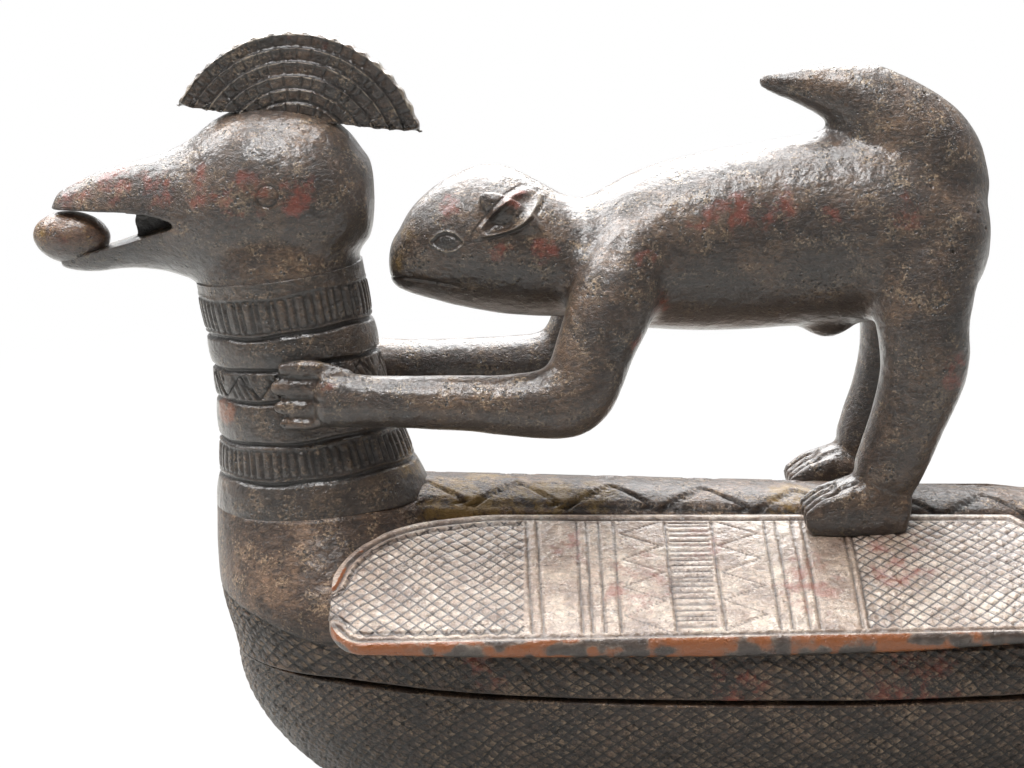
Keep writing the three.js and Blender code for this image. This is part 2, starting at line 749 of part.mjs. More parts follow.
// The head with a leaf-shaped, hollowed ear on each side
function monkeyHead(grow = 0) {
  const rows = [
    [0.037, 0.185, 0.53, 0.5],
    [0.1, 0.146, 0.704, 0.66],
    [0.195, 0.11, 0.84, 0.78],
    [0.305, 0.066, 0.936, 0.9],
    [0.47, 0.018, 1, 1],
    [0.634, 0, 0.913, 1],
    [0.79, 0, 0.8, 0.93],
    [0.97, 0.04, 0.72, 0.82],
  ];
  const box = {
    start: SNOUT,
    end: SNOUT + FACE_LENGTH,
    bottom: BELLY + FACE_RISE,
    height: FACE_HEIGHT,
    width: FACE_WIDTH,
  };
  const skull = loft(stationsInBox(box, rows), { sides: 20, tips: [0.3, 0.4], heading: BACKWARD, grow });
  if (grow > 0) return skull;
  const tilt = THREE.MathUtils.degToRad(-33);
  return [LEFT, RIGHT].reduce((face, side) => {
    const centre = new THREE.Vector3(
      SNOUT + FACE_LENGTH * 0.53,
      side * FACE_WIDTH * 0.45,
      BELLY + FACE_RISE + FACE_HEIGHT * 0.715,
    );
    const ear = ellipsoid(centre, [EAR_LENGTH / 2, EAR_STAND + 1, EAR_WIDTH / 2], tilt, [12, 6]);
    const hollow = ellipsoid(
      centre.clone().setY(centre.y + side * EAR_STAND),
      [EAR_LENGTH / 2 - EAR_RIM, EAR_STAND, EAR_WIDTH / 2 - EAR_RIM],
      tilt,
      [12, 6],
    );
    return face.add(ear).subtract(hollow);
  }, skull);
}

// A thick horn that rises from the rump and curls forward to a blunt tip
function monkeyTail(grow = 0) {
  const rows = [
    [-0.05, -1.5, 1],
    [0.03, -0.5, 0.95],
    [0.31, 0.5, 0.66],
    [0.5, 0.8, 0.47],
    [0.69, 0.92, 0.32],
    [0.91, 1, 0.165],
  ];
  const stations = rows.map(([forward, up, thick]) => [
    HIND_LEGS_AT - TAIL_HORN_REACH * forward,
    0,
    BELLY + TORSO_HEIGHT + TAIL_HORN_RISE * up,
    TAIL_HORN_ROOT * 0.42 * thick,
    (TAIL_HORN_ROOT / 2) * thick,
  ]);
  return loft(stations, { sides: 16, steps: 2, tips: [0.3, 1], grow });
}

// Upper arm, forearm and hand, with four fingers laid round the neck
function monkeyArm(side) {
  const neckSide = neckFlank(NECK_FOOT.x, HAND_LEVEL);
  const handY = neckSide + HAND_THICKNESS / 2 - HAND_SINK;
  const shoulder = new THREE.Vector3(
    TORSO_FRONT + SHOULDER_INSET,
    SHOULDER_SPREAD / 2,
    BELLY + TORSO_HEIGHT * 0.52,
  );
  const elbow = new THREE.Vector3(shoulder.x - ELBOW_FORWARD, handY, HAND_LEVEL + 1);
  const palmX = neckAxis(HAND_RISE / NECK_HEIGHT).x + PALM_BEHIND_AXIS;
  const palm = new THREE.Vector3(palmX, handY, HAND_LEVEL);
  const wrist = palm.clone().setX(palmX + WRIST_BEHIND_PALM);
  const between = (from, to, share, down = 0) => {
    const p = new THREE.Vector3().lerpVectors(from, to, share);
    return [p.x, p.y, p.z - down];
  };
  const upper = UPPER_ARM_THICKNESS / 2;
  const fore = FOREARM_THICKNESS / 2;
  const wide = ARM_WIDTH / 2;
  const stations = [
    [...between(shoulder, elbow, -0.05), wide * 0.95, upper * 1.05],
    [...between(shoulder, elbow, 0.32), wide * 1.1, upper * 1.1],
    [...between(shoulder, elbow, 0.68), wide * 1.05, upper * 1.02],
    [...between(shoulder, elbow, 1), wide, upper * 0.98],
    [...between(elbow, wrist, 0.2, 3), wide * 0.96, fore * 1.17],
    [...between(elbow, wrist, 0.5, 2), wide * 0.92, fore],
    [...between(elbow, wrist, 0.88, 1), wide * 0.84, fore * 0.92],
    [palm.x, palm.y, palm.z, HAND_THICKNESS / 2, HAND_HEIGHT / 2],
  ];
  const arm = loft(stations.map(([x, y, z, w, h]) => [x, side * y, z, w, h]), { tips: [0.5, 0.35] });
  const thick = FINGER_PITCH * 0.52;
  const fingers = Array.from({ length: FINGER_COUNT }, (_, i) => {
    const z = HAND_LEVEL + FINGER_PITCH * ((FINGER_COUNT - 1) / 2 - i);
    const outset = (x) => neckFlank(x, z) + thick - 1;
    const places = [0, 0.45, 0.9].map((share) => palm.x + 2 - FINGER_LENGTH * share);
    return loft(
      places.map((x, k) => [x, side * (k ? outset(x) : palm.y), z, thick * 1.1, thick]),
      { sides: 8, tips: [0.6, 1] },
    );
  });
  return fingers.reduce((joined, finger) => joined.add(finger), arm);
}

// Thigh, shank and a paw with four toes, standing astride the ridge
function monkeyLeg(side) {
  const y = LEG_SPREAD / 2;
  const x = HIND_LEGS_AT;
  const wide = LEG_WIDTH / 2;
  const hip = BELLY + TORSO_HEIGHT * 0.6;
  const hock = RIDGE_TOP + HOCK_HEIGHT;
  const ground = slopeAt(y) + WING_THICKNESS;
  const ankle = ground + PAW_HEIGHT;
  const rows = [
    [x, y * 0.62, hip, wide * 0.85, THIGH_THICKNESS * 0.48],
    [x, y * 0.8, hip - (hip - hock) * 0.35, wide * 1.1, THIGH_THICKNESS * 0.47],
    [x, y * 0.95, hip - (hip - hock) * 0.7, wide * 1.06, THIGH_THICKNESS * 0.4],
    [x + 1, y, hock, wide, HOCK_THICKNESS / 2],
    [x - ANKLE_FORWARD * 0.3, y, hock + (ankle - hock) * 0.45, wide * 0.94, HOCK_THICKNESS * 0.44],
    [x - ANKLE_FORWARD * 0.68, y, hock + (ankle - hock) * 0.8, wide * 0.9, ANKLE_THICKNESS * 0.53],
    [x - ANKLE_FORWARD, y, ankle - PAW_HEIGHT * 0.15, wide * 0.88, ANKLE_THICKNESS / 2],
  ];
  const leg = loft(rows.map(([px, py, pz, w, h]) => [px, side * py, pz, w, h]), { tips: [0.4, 0.5] });
  const heel = x - HEEL_FORWARD;
  const toeRoot = heel - PAW_LENGTH + TOE_LENGTH;
  const pawMiddle = ground + PAW_HEIGHT / 2 - PAW_SINK / 2;
  const pawHigh = (PAW_HEIGHT + PAW_SINK) / 2;
  const paw = loft(
    [
      [heel, side * y, pawMiddle - 2, PAW_WIDTH * 0.42, pawHigh * 0.75],
      [heel - (heel - toeRoot) * 0.5, side * y, pawMiddle, PAW_WIDTH * 0.48, pawHigh],
      [toeRoot, side * y, pawMiddle - 1, PAW_WIDTH / 2, pawHigh * 0.88],
    ],
    { tips: [0.3, 0.5] },
  );
  const pitch = PAW_WIDTH / TOE_COUNT;
  const toes = Array.from({ length: TOE_COUNT }, (_, i) => {
    const toeY = side * (y + pitch * (i - (TOE_COUNT - 1) / 2));
    return loft(
      [
        [toeRoot + 3, toeY, pawMiddle, pitch * 0.52, pawHigh * 0.7],
        [toeRoot - TOE_LENGTH * 0.4, toeY, pawMiddle - 2, pitch * 0.54, pawHigh * 0.62],
        [toeRoot - TOE_LENGTH * 0.8, toeY, pawMiddle - 4, pitch * 0.46, pawHigh * 0.42],
      ],
      { sides: 8, tips: [0.3, 0.6] },
    );
  });
  return [paw, ...toes].reduce((joined, part) => joined.add(part), leg);
}

const WOOD = { dark: "#3b302b", lid: "#43362f", wing: "#5a4438", monkey: "#463731", nut: "#57452e" };

function piece(name, solid, color, roughness = 0.6) {
  const { vertProperties, triVerts } = solid.getMesh();
  const geometry = new THREE.BufferGeometry();
  geometry.setAttribute("position", new THREE.BufferAttribute(vertProperties, 3));
  geometry.setIndex(new THREE.BufferAttribute(triVerts, 1));
  const material = new THREE.MeshStandardMaterial({ color, roughness, metalness: 0 });
  const mesh = new THREE.Mesh(geometry, material);
  mesh.name = name;
  return mesh;
}

const lidAround = lidBody(GAP);
const neckAround = birdNeck(GAP);
const torsoAround = monkeyTorso(GAP);
const hornAround = monkeyTail(GAP);
const faceAround = monkeyHead(GAP);
const sides = { left: LEFT, right: RIGHT };

const container = new THREE.Group();
container.add(
  piece("bowl", bowl(), WOOD.dark),
  piece("lid_shell", lidBody().subtract(lidRoom()), WOOD.lid),
  piece("tail_fan", seat(birdTail(), lidAround), WOOD.lid),
  piece("bird_neck", seat(birdNeck(), lidAround), WOOD.dark),
  piece("bird_head", seat(birdHead(), neckAround, nut(GAP)), WOOD.dark),
  piece("bird_crest", seat(crest(), birdHead(GAP)), WOOD.dark),
  piece("beak_nut", nut(), WOOD.nut, 0.5),
  piece("monkey_torso", monkeyTorso(), WOOD.monkey),
  piece("monkey_head", seat(monkeyHead(), torsoAround), WOOD.monkey),
  piece("monkey_tail", seat(monkeyTail(), torsoAround), WOOD.monkey),
);
for (const [label, side] of Object.entries(sides)) {
  const arm = seat(monkeyArm(side), torsoAround, faceAround, neckAround);
  const leg = seat(monkeyLeg(side), torsoAround, hornAround, lidAround, wing(side, GAP));
  container.add(
    piece("wing_" + label, seat(wing(side), lidAround), WOOD.wing, 0.5),
    piece("monkey_arm_" + label, arm, WOOD.monkey),
    piece("monkey_leg_" + label, leg, WOOD.monkey),
  );
}

export default container;
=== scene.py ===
# %% [markdown]
# A carved wooden container in the shape of a bird. Its lid carries the bird's neck, head, wings
# and tail, and a monkey that stands on the bird's back and grips its neck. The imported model
# gives the frame: where each part sits and what moves. This lesson carves the visible wood
# around that frame. It starts by loading the frame and noting the box it fills.

# %% Load the frame
import math

import bmesh
import bpy
import numpy as np
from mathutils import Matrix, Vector


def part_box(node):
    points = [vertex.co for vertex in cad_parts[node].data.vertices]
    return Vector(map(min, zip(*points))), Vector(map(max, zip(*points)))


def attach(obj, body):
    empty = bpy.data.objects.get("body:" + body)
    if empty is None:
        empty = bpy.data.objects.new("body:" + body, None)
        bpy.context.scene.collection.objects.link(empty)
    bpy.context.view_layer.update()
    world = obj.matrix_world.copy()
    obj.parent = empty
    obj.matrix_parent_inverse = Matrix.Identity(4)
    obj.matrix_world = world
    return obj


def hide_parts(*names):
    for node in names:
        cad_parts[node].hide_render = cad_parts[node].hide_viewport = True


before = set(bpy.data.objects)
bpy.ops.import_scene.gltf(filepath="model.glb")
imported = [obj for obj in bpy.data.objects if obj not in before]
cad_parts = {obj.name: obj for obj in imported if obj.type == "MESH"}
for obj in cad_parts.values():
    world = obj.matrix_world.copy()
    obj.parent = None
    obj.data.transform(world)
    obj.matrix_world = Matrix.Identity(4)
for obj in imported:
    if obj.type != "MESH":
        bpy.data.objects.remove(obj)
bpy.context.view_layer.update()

# %% [markdown]
# The photograph was taken from the bird's left, a little above the lid, close to the head.
# The camera comes first, because every later choice is judged through it. Its height, distance
# and pitch were found by matching known points of the object with their pixels. A small helper
# puts an object into the scene.

# %% The camera


def placed(name, data):
    """An object with its data, linked to the scene."""
    obj = bpy.data.objects.new(name, data)
    bpy.context.collection.objects.link(obj)
    return obj


PITCH_DEGREES = 12.5
camera_data = bpy.data.cameras.new("camera")
camera_data.lens = 82.7
camera_data.sensor_width = 36
camera = placed("camera", camera_data)
camera.location = (-0.099, -0.9763, 0.4384)
camera.rotation_euler = (math.radians(90 - PITCH_DEGREES), 0, 0)
bpy.context.scene.camera = camera
print("camera lens, mm:", camera_data.lens)

# %% [markdown]
# Sizes in this lesson are in millimetres, as a carver would give them, and become metres when a
# mesh is made. These are the sizes that several pieces share; the rim and the bowl's half length
# and width are read from the imported solids.

# %% Shared sizes
MM = 0.001


def box_of(node):
    """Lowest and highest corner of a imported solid, in millimetres."""
    return [np.array(corner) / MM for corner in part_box(node)]


RIM = box_of("lid_shell")[0][2] - 0.3
HALF_LENGTH = box_of("bowl")[1][0]
HALF_WIDTH = box_of("bowl")[1][1]
FOOT_HEIGHT = 9
RIDGE_TOP = RIM + 66.5
NECK_FOOT = np.array([-179.5, 0.0, RIM + 60])
NECK_LEAN, NECK_HEIGHT = 16.5, 94.0
NECK_TOP = NECK_FOOT + [-NECK_LEAN, 0.0, NECK_HEIGHT]
PLAN_FULLNESS = 2.3
print("rim height:", round(RIM, 2), "half length:", round(HALF_LENGTH, 2))

# %% [markdown]
# A hand-carved form is never quite even. This value noise gives a smooth, repeatable unevenness
# to any set of points: random numbers on a grid of cells, blended between the cells' corners.

# %% Smooth noise over points


def noise(points, size, seed=0):
    """Smooth noise from -1 to 1 at each point, with cells of one size in millimetres."""
    place = np.asarray(points, float) / size + 1000.0
    cell = np.floor(place).astype(np.int64)
    share = place - cell
    share = share * share * (3 - 2 * share)
    total = np.zeros(len(place))
    for corner in np.ndindex(2, 2, 2):
        n = cell + np.array(corner)
        mixed = n[:, 0] * 374761393 + n[:, 1] * 668265263 + n[:, 2] * 2147483647 + seed * 1274126177
        mixed = ((mixed ^ (mixed >> 13)) * 1274126177) & 0x7FFFFFFF
        value = ((mixed ^ (mixed >> 16)) & 0xFFFF) / 32767.5 - 1
        weight = np.prod(np.where(corner, share, 1 - share), axis=1)
        total += value * weight
    return total


def soft_step(low, high, values):
    """0 below low, 1 above high, and a smooth rise between."""
    share = np.clip((np.asarray(values, float) - low) / (high - low), 0, 1)
    return share * share * (3 - 2 * share)


print("noise sample:", round(float(noise([[1.0, 2.0, 3.0]], 10)[0]), 3))

# %% [markdown]
# Nearly every form here is a row of rings joined by a skin: the bowl, the lid, the limbs, the
# collars of the neck. One helper makes the skin and shuts both ends.

# %% From rings to a closed mesh


def skin(rings):
    """Points and faces of a closed surface through rings of equal, halved or doubled counts."""
    faces = []
    points = [np.asarray(ring, float) for ring in rings]
    starts = [sum(len(ring) for ring in points[:i]) for i in range(len(points))]
    for low, high in zip(range(len(rings)), range(1, len(rings))):
        a, b = starts[low], starts[high]
        n, m = len(points[low]), len(points[high])
        j = np.arange(n)
        if n == m:
            faces += np.stack([a + j, a + (j + 1) % n, b + (j + 1) % n, b + j], 1).tolist()
        elif n == 2 * m:
            i = np.arange(m)
            even, odd, after = a + 2 * i, a + 2 * i + 1, a + (2 * i + 2) % n
            faces += np.stack([even, odd, b + i], 1).tolist()
            faces += np.stack([odd, b + (i + 1) % m, b + i], 1).tolist()
            faces += np.stack([odd, after, b + (i + 1) % m], 1).tolist()
        elif m == 2 * n:
            even, odd, after = b + 2 * j, b + 2 * j + 1, b + (2 * j + 2) % m
            faces += np.stack([a + j, odd, even], 1).tolist()
            faces += np.stack([a + j, a + (j + 1) % n, odd], 1).tolist()
            faces += np.stack([a + (j + 1) % n, after, odd], 1).tolist()
    count = sum(len(ring) for ring in points)
    first, last = points[0], points[-1]
    n, m = len(first), len(last)
    points += [first.mean(0)[None], last.mean(0)[None]]
    j, k = np.arange(n), np.arange(m)
    faces += np.stack([np.full(n, count), (j + 1) % n, j], 1).tolist()
    faces += np.stack([np.full(m, count + 1), starts[-1] + k, starts[-1] + (k + 1) % m], 1).tolist()
    return np.vstack(points), faces


def piece(name, points, faces):
    """A named object in metres, its faces pointing outwards and smooth shaded."""
    mesh = bpy.data.meshes.new(name)
    mesh.from_pydata((np.asarray(points) * MM).tolist(), [], faces)
    bm = bmesh.new()
    bm.from_mesh(mesh)
    bmesh.ops.remove_doubles(bm, verts=bm.verts, dist=1e-6)
    bmesh.ops.recalc_face_normals(bm, faces=bm.faces)
    bm.to_mesh(mesh)
    bm.free()
    mesh.shade_smooth()
    return placed(name, mesh)


# %% [markdown]
# Limbs and heads are lofts: an oval section is carried along a smooth path, changing its size
# from station to station, with a rounded end at each side. A station is a row
# [x, y, z, half width, half height].

# %% Lofts


def spline(rows, count):
    """A smooth curve through rows of numbers, sampled evenly from row to row."""
    rows = np.asarray(rows, float)
    t = np.linspace(0, len(rows) - 1, count)
    i = np.minimum(t.astype(int), len(rows) - 2)
    f = (t - i)[:, None]
    padded = np.vstack([2 * rows[0] - rows[1], rows, 2 * rows[-1] - rows[-2]])
    a, b, c, d = (padded[i + k] for k in range(4))
    return 0.5 * (2 * b + (c - a) * f + (2 * a - 5 * b + 4 * c - d) * f**2 + (3 * b - a - 3 * c + d) * f**3)


def oval(count, fullness=2.0):
    """A unit oval; fullness 2 is an ellipse and more is squarer."""
    angle = np.arange(count) / count * 2 * np.pi
    c, s = np.cos(angle), np.sin(angle)
    return np.sign(c) * np.abs(c) ** (2 / fullness), np.sign(s) * np.abs(s) ** (2 / fullness)


def loft(stations, tips=(0.6, 0.6), fullness=2.0, heading=None, sides=56, count=70):
    """Points and faces of a smooth body through stations, its ends domed by a share of their height."""
    rows = spline(stations, count)
    along = np.gradient(rows[:, :3], axis=0)
    if heading is not None:
        along = np.tile(np.array(heading, float), (count, 1))
    along /= np.linalg.norm(along, axis=1)[:, None]
    across = np.array([0.0, 1.0, 0.0]) - along * along[:, 1:2]
    across /= np.linalg.norm(across, axis=1)[:, None]
    up = np.cross(along, across)
    c, s = oval(sides, fullness)

    def ring(i, shift, scale):
        middle = rows[i, :3] + along[i] * shift
        wide, high = rows[i, 3:5] * scale
        return middle + np.outer(c, across[i]) * wide + np.outer(s, up[i]) * high

    dome = np.linspace(0, np.pi / 2, 9)[1:-1]
    first, last = tips[0] * rows[0, 4], tips[1] * rows[-1, 4]
    rings = [ring(0, -np.sin(a) * first, np.cos(a)) for a in dome[::-1]]
    rings += [ring(i, 0, 1) for i in range(count)]
    rings += [ring(-1, np.sin(a) * last, np.cos(a)) for a in dome]
    return skin(rings)


def in_box(start, end, bottom, height, width, rows):
    """Stations from an outline drawn in a box: rows of [along, lower line, upper line, width] as shares."""
    stations = []
    for along, low, high, wide in rows:
        middle, half_height = bottom + height * (low + high) / 2, height * (high - low) / 2
        stations.append([start + (end - start) * along, 0, middle, wide * width / 2, half_height])
    return stations


def ellipsoid(centre, halves, tilt=0.0):
    """Points and faces of an ellipsoid, tilted nose up about the Y axis by degrees."""
    angle = np.linspace(0, np.pi, 26)[1:-1]
    c, s = oval(48)
    rings = [np.stack([np.full(48, -np.cos(a)), np.sin(a) * c, np.sin(a) * s], 1) for a in angle]
    points, faces = skin(rings)
    turn = math.radians(tilt)
    points = points * np.array(halves)
    x, z = points[:, 0].copy(), points[:, 2].copy()
    points[:, 0] = x * math.cos(turn) + z * math.sin(turn)
    points[:, 2] = z * math.cos(turn) - x * math.sin(turn)
    return points + np.array(centre), faces


# %% [markdown]
# Where forms grow out of each other, as a thigh out of a body, the carver leaves no seam. Voxel
# remeshing gives that: overlapping bodies are filled with small cubes, one skin is drawn round
# them all, and a few rounds of smoothing soften the creases.

# %% Growing forms together


def joined(name, parts):
    """One object that holds several [points, faces] bodies or finished objects."""
    bm = bmesh.new()
    for part in parts:
        if isinstance(part, bpy.types.Object):
            bm.from_mesh(part.data)
            bpy.data.objects.remove(part)
        else:
            mesh = bpy.data.meshes.new("part")
            mesh.from_pydata((part[0] * MM).tolist(), [], part[1])
            bm.from_mesh(mesh)
            bpy.data.meshes.remove(mesh)
    bmesh.ops.recalc_face_normals(bm, faces=bm.faces)
    mesh = bpy.data.meshes.new(name)
    bm.to_mesh(mesh)
    bm.free()
    return placed(name, mesh)


def settle(obj):
    """Bakes the object's modifiers into a plain mesh."""
    bpy.context.view_layer.update()
    graph = bpy.context.evaluated_depsgraph_get()
    mesh = bpy.data.meshes.new_from_object(
        obj.evaluated_get(graph), preserve_all_data_layers=True, depsgraph=graph
    )
    obj.modifiers.clear()
    obj.data = mesh
    mesh.shade_smooth()
    return obj


def grown(name, parts, voxel, rounds):
    """Bodies grown into one skin with cubes of a size in millimetres, then smoothed."""
    obj = joined(name, parts)
    remesh = obj.modifiers.new("grow", "REMESH")
    remesh.mode = "VOXEL"
    remesh.voxel_size = voxel * MM
    smooth = obj.modifiers.new("soften", "SMOOTH")
    smooth.factor = 0.5
    smooth.iterations = rounds
    return settle(obj)


# %% [markdown]
# Fine carving moves the skin's own points. These helpers read a mesh's points and normals as
# arrays, push points inwards, and leave marks on the mesh that the finishes read later: how
# deep the cut is, where the red pigment stays, where the wood is rubbed.

# %% Carving by moving points


def points_of(obj):
    """The object's points in millimetres and its normals, as arrays."""
    count = len(obj.data.vertices)
    co = np.empty(count * 3, np.float32)
    obj.data.vertices.foreach_get("co", co)
    normal = np.empty(count * 3, np.float32)
    obj.data.vertex_normals.foreach_get("vector", normal)
    return co.reshape(-1, 3).astype(float) / MM, normal.reshape(-1, 3).astype(float)


def place(obj, points):
    """Writes points in millimetres back to the object."""
    obj.data.vertices.foreach_set("co", (np.asarray(points) * MM).astype(np.float32).ravel())
    obj.data.update()


def mark(obj, name, values):
    """Keeps a number for each point of the mesh, the highest where it is marked twice."""
    layer = obj.data.attributes.get(name) or obj.data.attributes.new(name, "FLOAT", "POINT")
    old = np.empty(len(obj.data.vertices), np.float32)
    layer.data.foreach_get("value", old)
    layer.data.foreach_set("value", np.maximum(old, values).astype(np.float32))


def carve(obj, depth, cut=None):
    """Moves every point inwards by its own depth in millimetres and marks the cut."""
    points, normals = points_of(obj)
    place(obj, points - normals * np.asarray(depth)[:, None])
    if cut is not None:
        mark(obj, "cut", cut)


def line_distance(flat, path):
    """Distance from points on a plane to a polyline."""
    path = np.asarray(path, float)
    best = np.full(len(flat), 1e9)
    for a, b in zip(path[:-1], path[1:]):
        way = b - a
        share = np.clip(((flat - a) @ way) / (way @ way), 0, 1)
        best = np.minimum(best, np.linalg.norm(flat - a - share[:, None] * way, axis=1))
    return best


def groove(distance, width):
    """Depth share of a round-edged cut: 1 on its line and 0 beyond its width."""
    return 1 - soft_step(0, width, distance)


def unevenness(obj, sizes, seed):
    """Gentle tool marks and warps: rows of (cell size, height), in millimetres, always inwards."""
    points, _ = points_of(obj)
    depth = sum(high * (0.5 + 0.5 * noise(points, size, seed + i)) for i, (size, high) in enumerate(sizes))
    carve(obj, depth)


def triangles(obj):
    """How many triangles an object's faces make."""
    return sum(len(p.vertices) - 2 for p in obj.data.polygons)


def refine(obj, chosen, cuts=1):
    """Splits the faces whose corners are all chosen, so that finer cuts fit there."""
    bm = bmesh.new()
    bm.from_mesh(obj.data)
    bm.verts.ensure_lookup_table()
    keep = np.asarray(chosen, bool)
    faces = [f for f in bm.faces if all(keep[v.index] for v in f.verts)]
    edges = list({e for f in faces for e in f.edges})
    bmesh.ops.subdivide_edges(bm, edges=edges, cuts=cuts, use_grid_fill=True)
    bm.to_mesh(obj.data)
    bm.free()
    obj.data.update()


def near(points, spots):
    """For each point, how strongly it lies in any of the spots [x, y, z, radius]."""
    best = np.zeros(len(points))
    for x, y, z, radius in spots:
        away = np.linalg.norm((points - [x, y, z]) * [1, 0.55, 1], axis=1)
        best = np.maximum(best, 1 - soft_step(radius * 0.35, radius, away))
    return best


# %% [markdown]
# The finishes come before the pieces, because the carving trees below hand each piece its
# finish. Colours are written as the hex values that one would pick on a screen, and one function
# turns them to the linear values that the shader works in. Another adds a node with its settings
# and links, which keeps the trees readable.

# %% Colours and nodes


def linear(code):
    """A hex colour as linear red, green, blue and full opacity."""
    parts = [int(code[i : i + 2], 16) / 255 for i in (1, 3, 5)]
    return [v / 12.92 if v <= 0.04045 else ((v + 0.055) / 1.055) ** 2.4 for v in parts] + [1.0]


def add(tree, kind, links=None, **settings):
    """A node with its settings; links gives its inputs a value, or another node's output."""
    node = tree.nodes.new(kind)
    for key, value in settings.items():
        setattr(node, key, value)
    for key, value in (links or {}).items():
        if isinstance(value, bpy.types.Node):
            value = value.outputs[0]
        if isinstance(value, bpy.types.NodeSocket):
            tree.links.new(value, node.inputs[key])
        else:
            node.inputs[key].default_value = value
    return node


def steps(node, rows):
    """Sets a colour ramp's stops from rows of (place, hex colour)."""
    ramp = node.color_ramp
    while len(ramp.elements) < len(rows):
        ramp.elements.new(0.5)
    for element, (at, colour) in zip(ramp.elements, rows):
        element.position = at
        element.color = linear(colour)
    return node


print("mid grey in linear light:", round(linear("#808080")[0], 3))

# %% [markdown]
# The wood is a dense tropical hardwood, stained almost black, oiled and handled for years. What
# gives it away: brown patches where the stain has thinned, pale dust in the pores that also serves
# as painted glints on the grain, dark pits, red pigment left in places, and a waxy glare on
# everything that faces up. The colour also carries painted shade on everything that faces down, and
# a little painted light on what faces up. Where scales are cut, the finish draws their dark joints
# and a painted highlight on their raised edges.
# The sizes behind the patterns: stain patches 22 mm and less, pits 2.4 mm apart, specks about
# 1 mm, tool ripples 4 mm.

# %% Stained wood


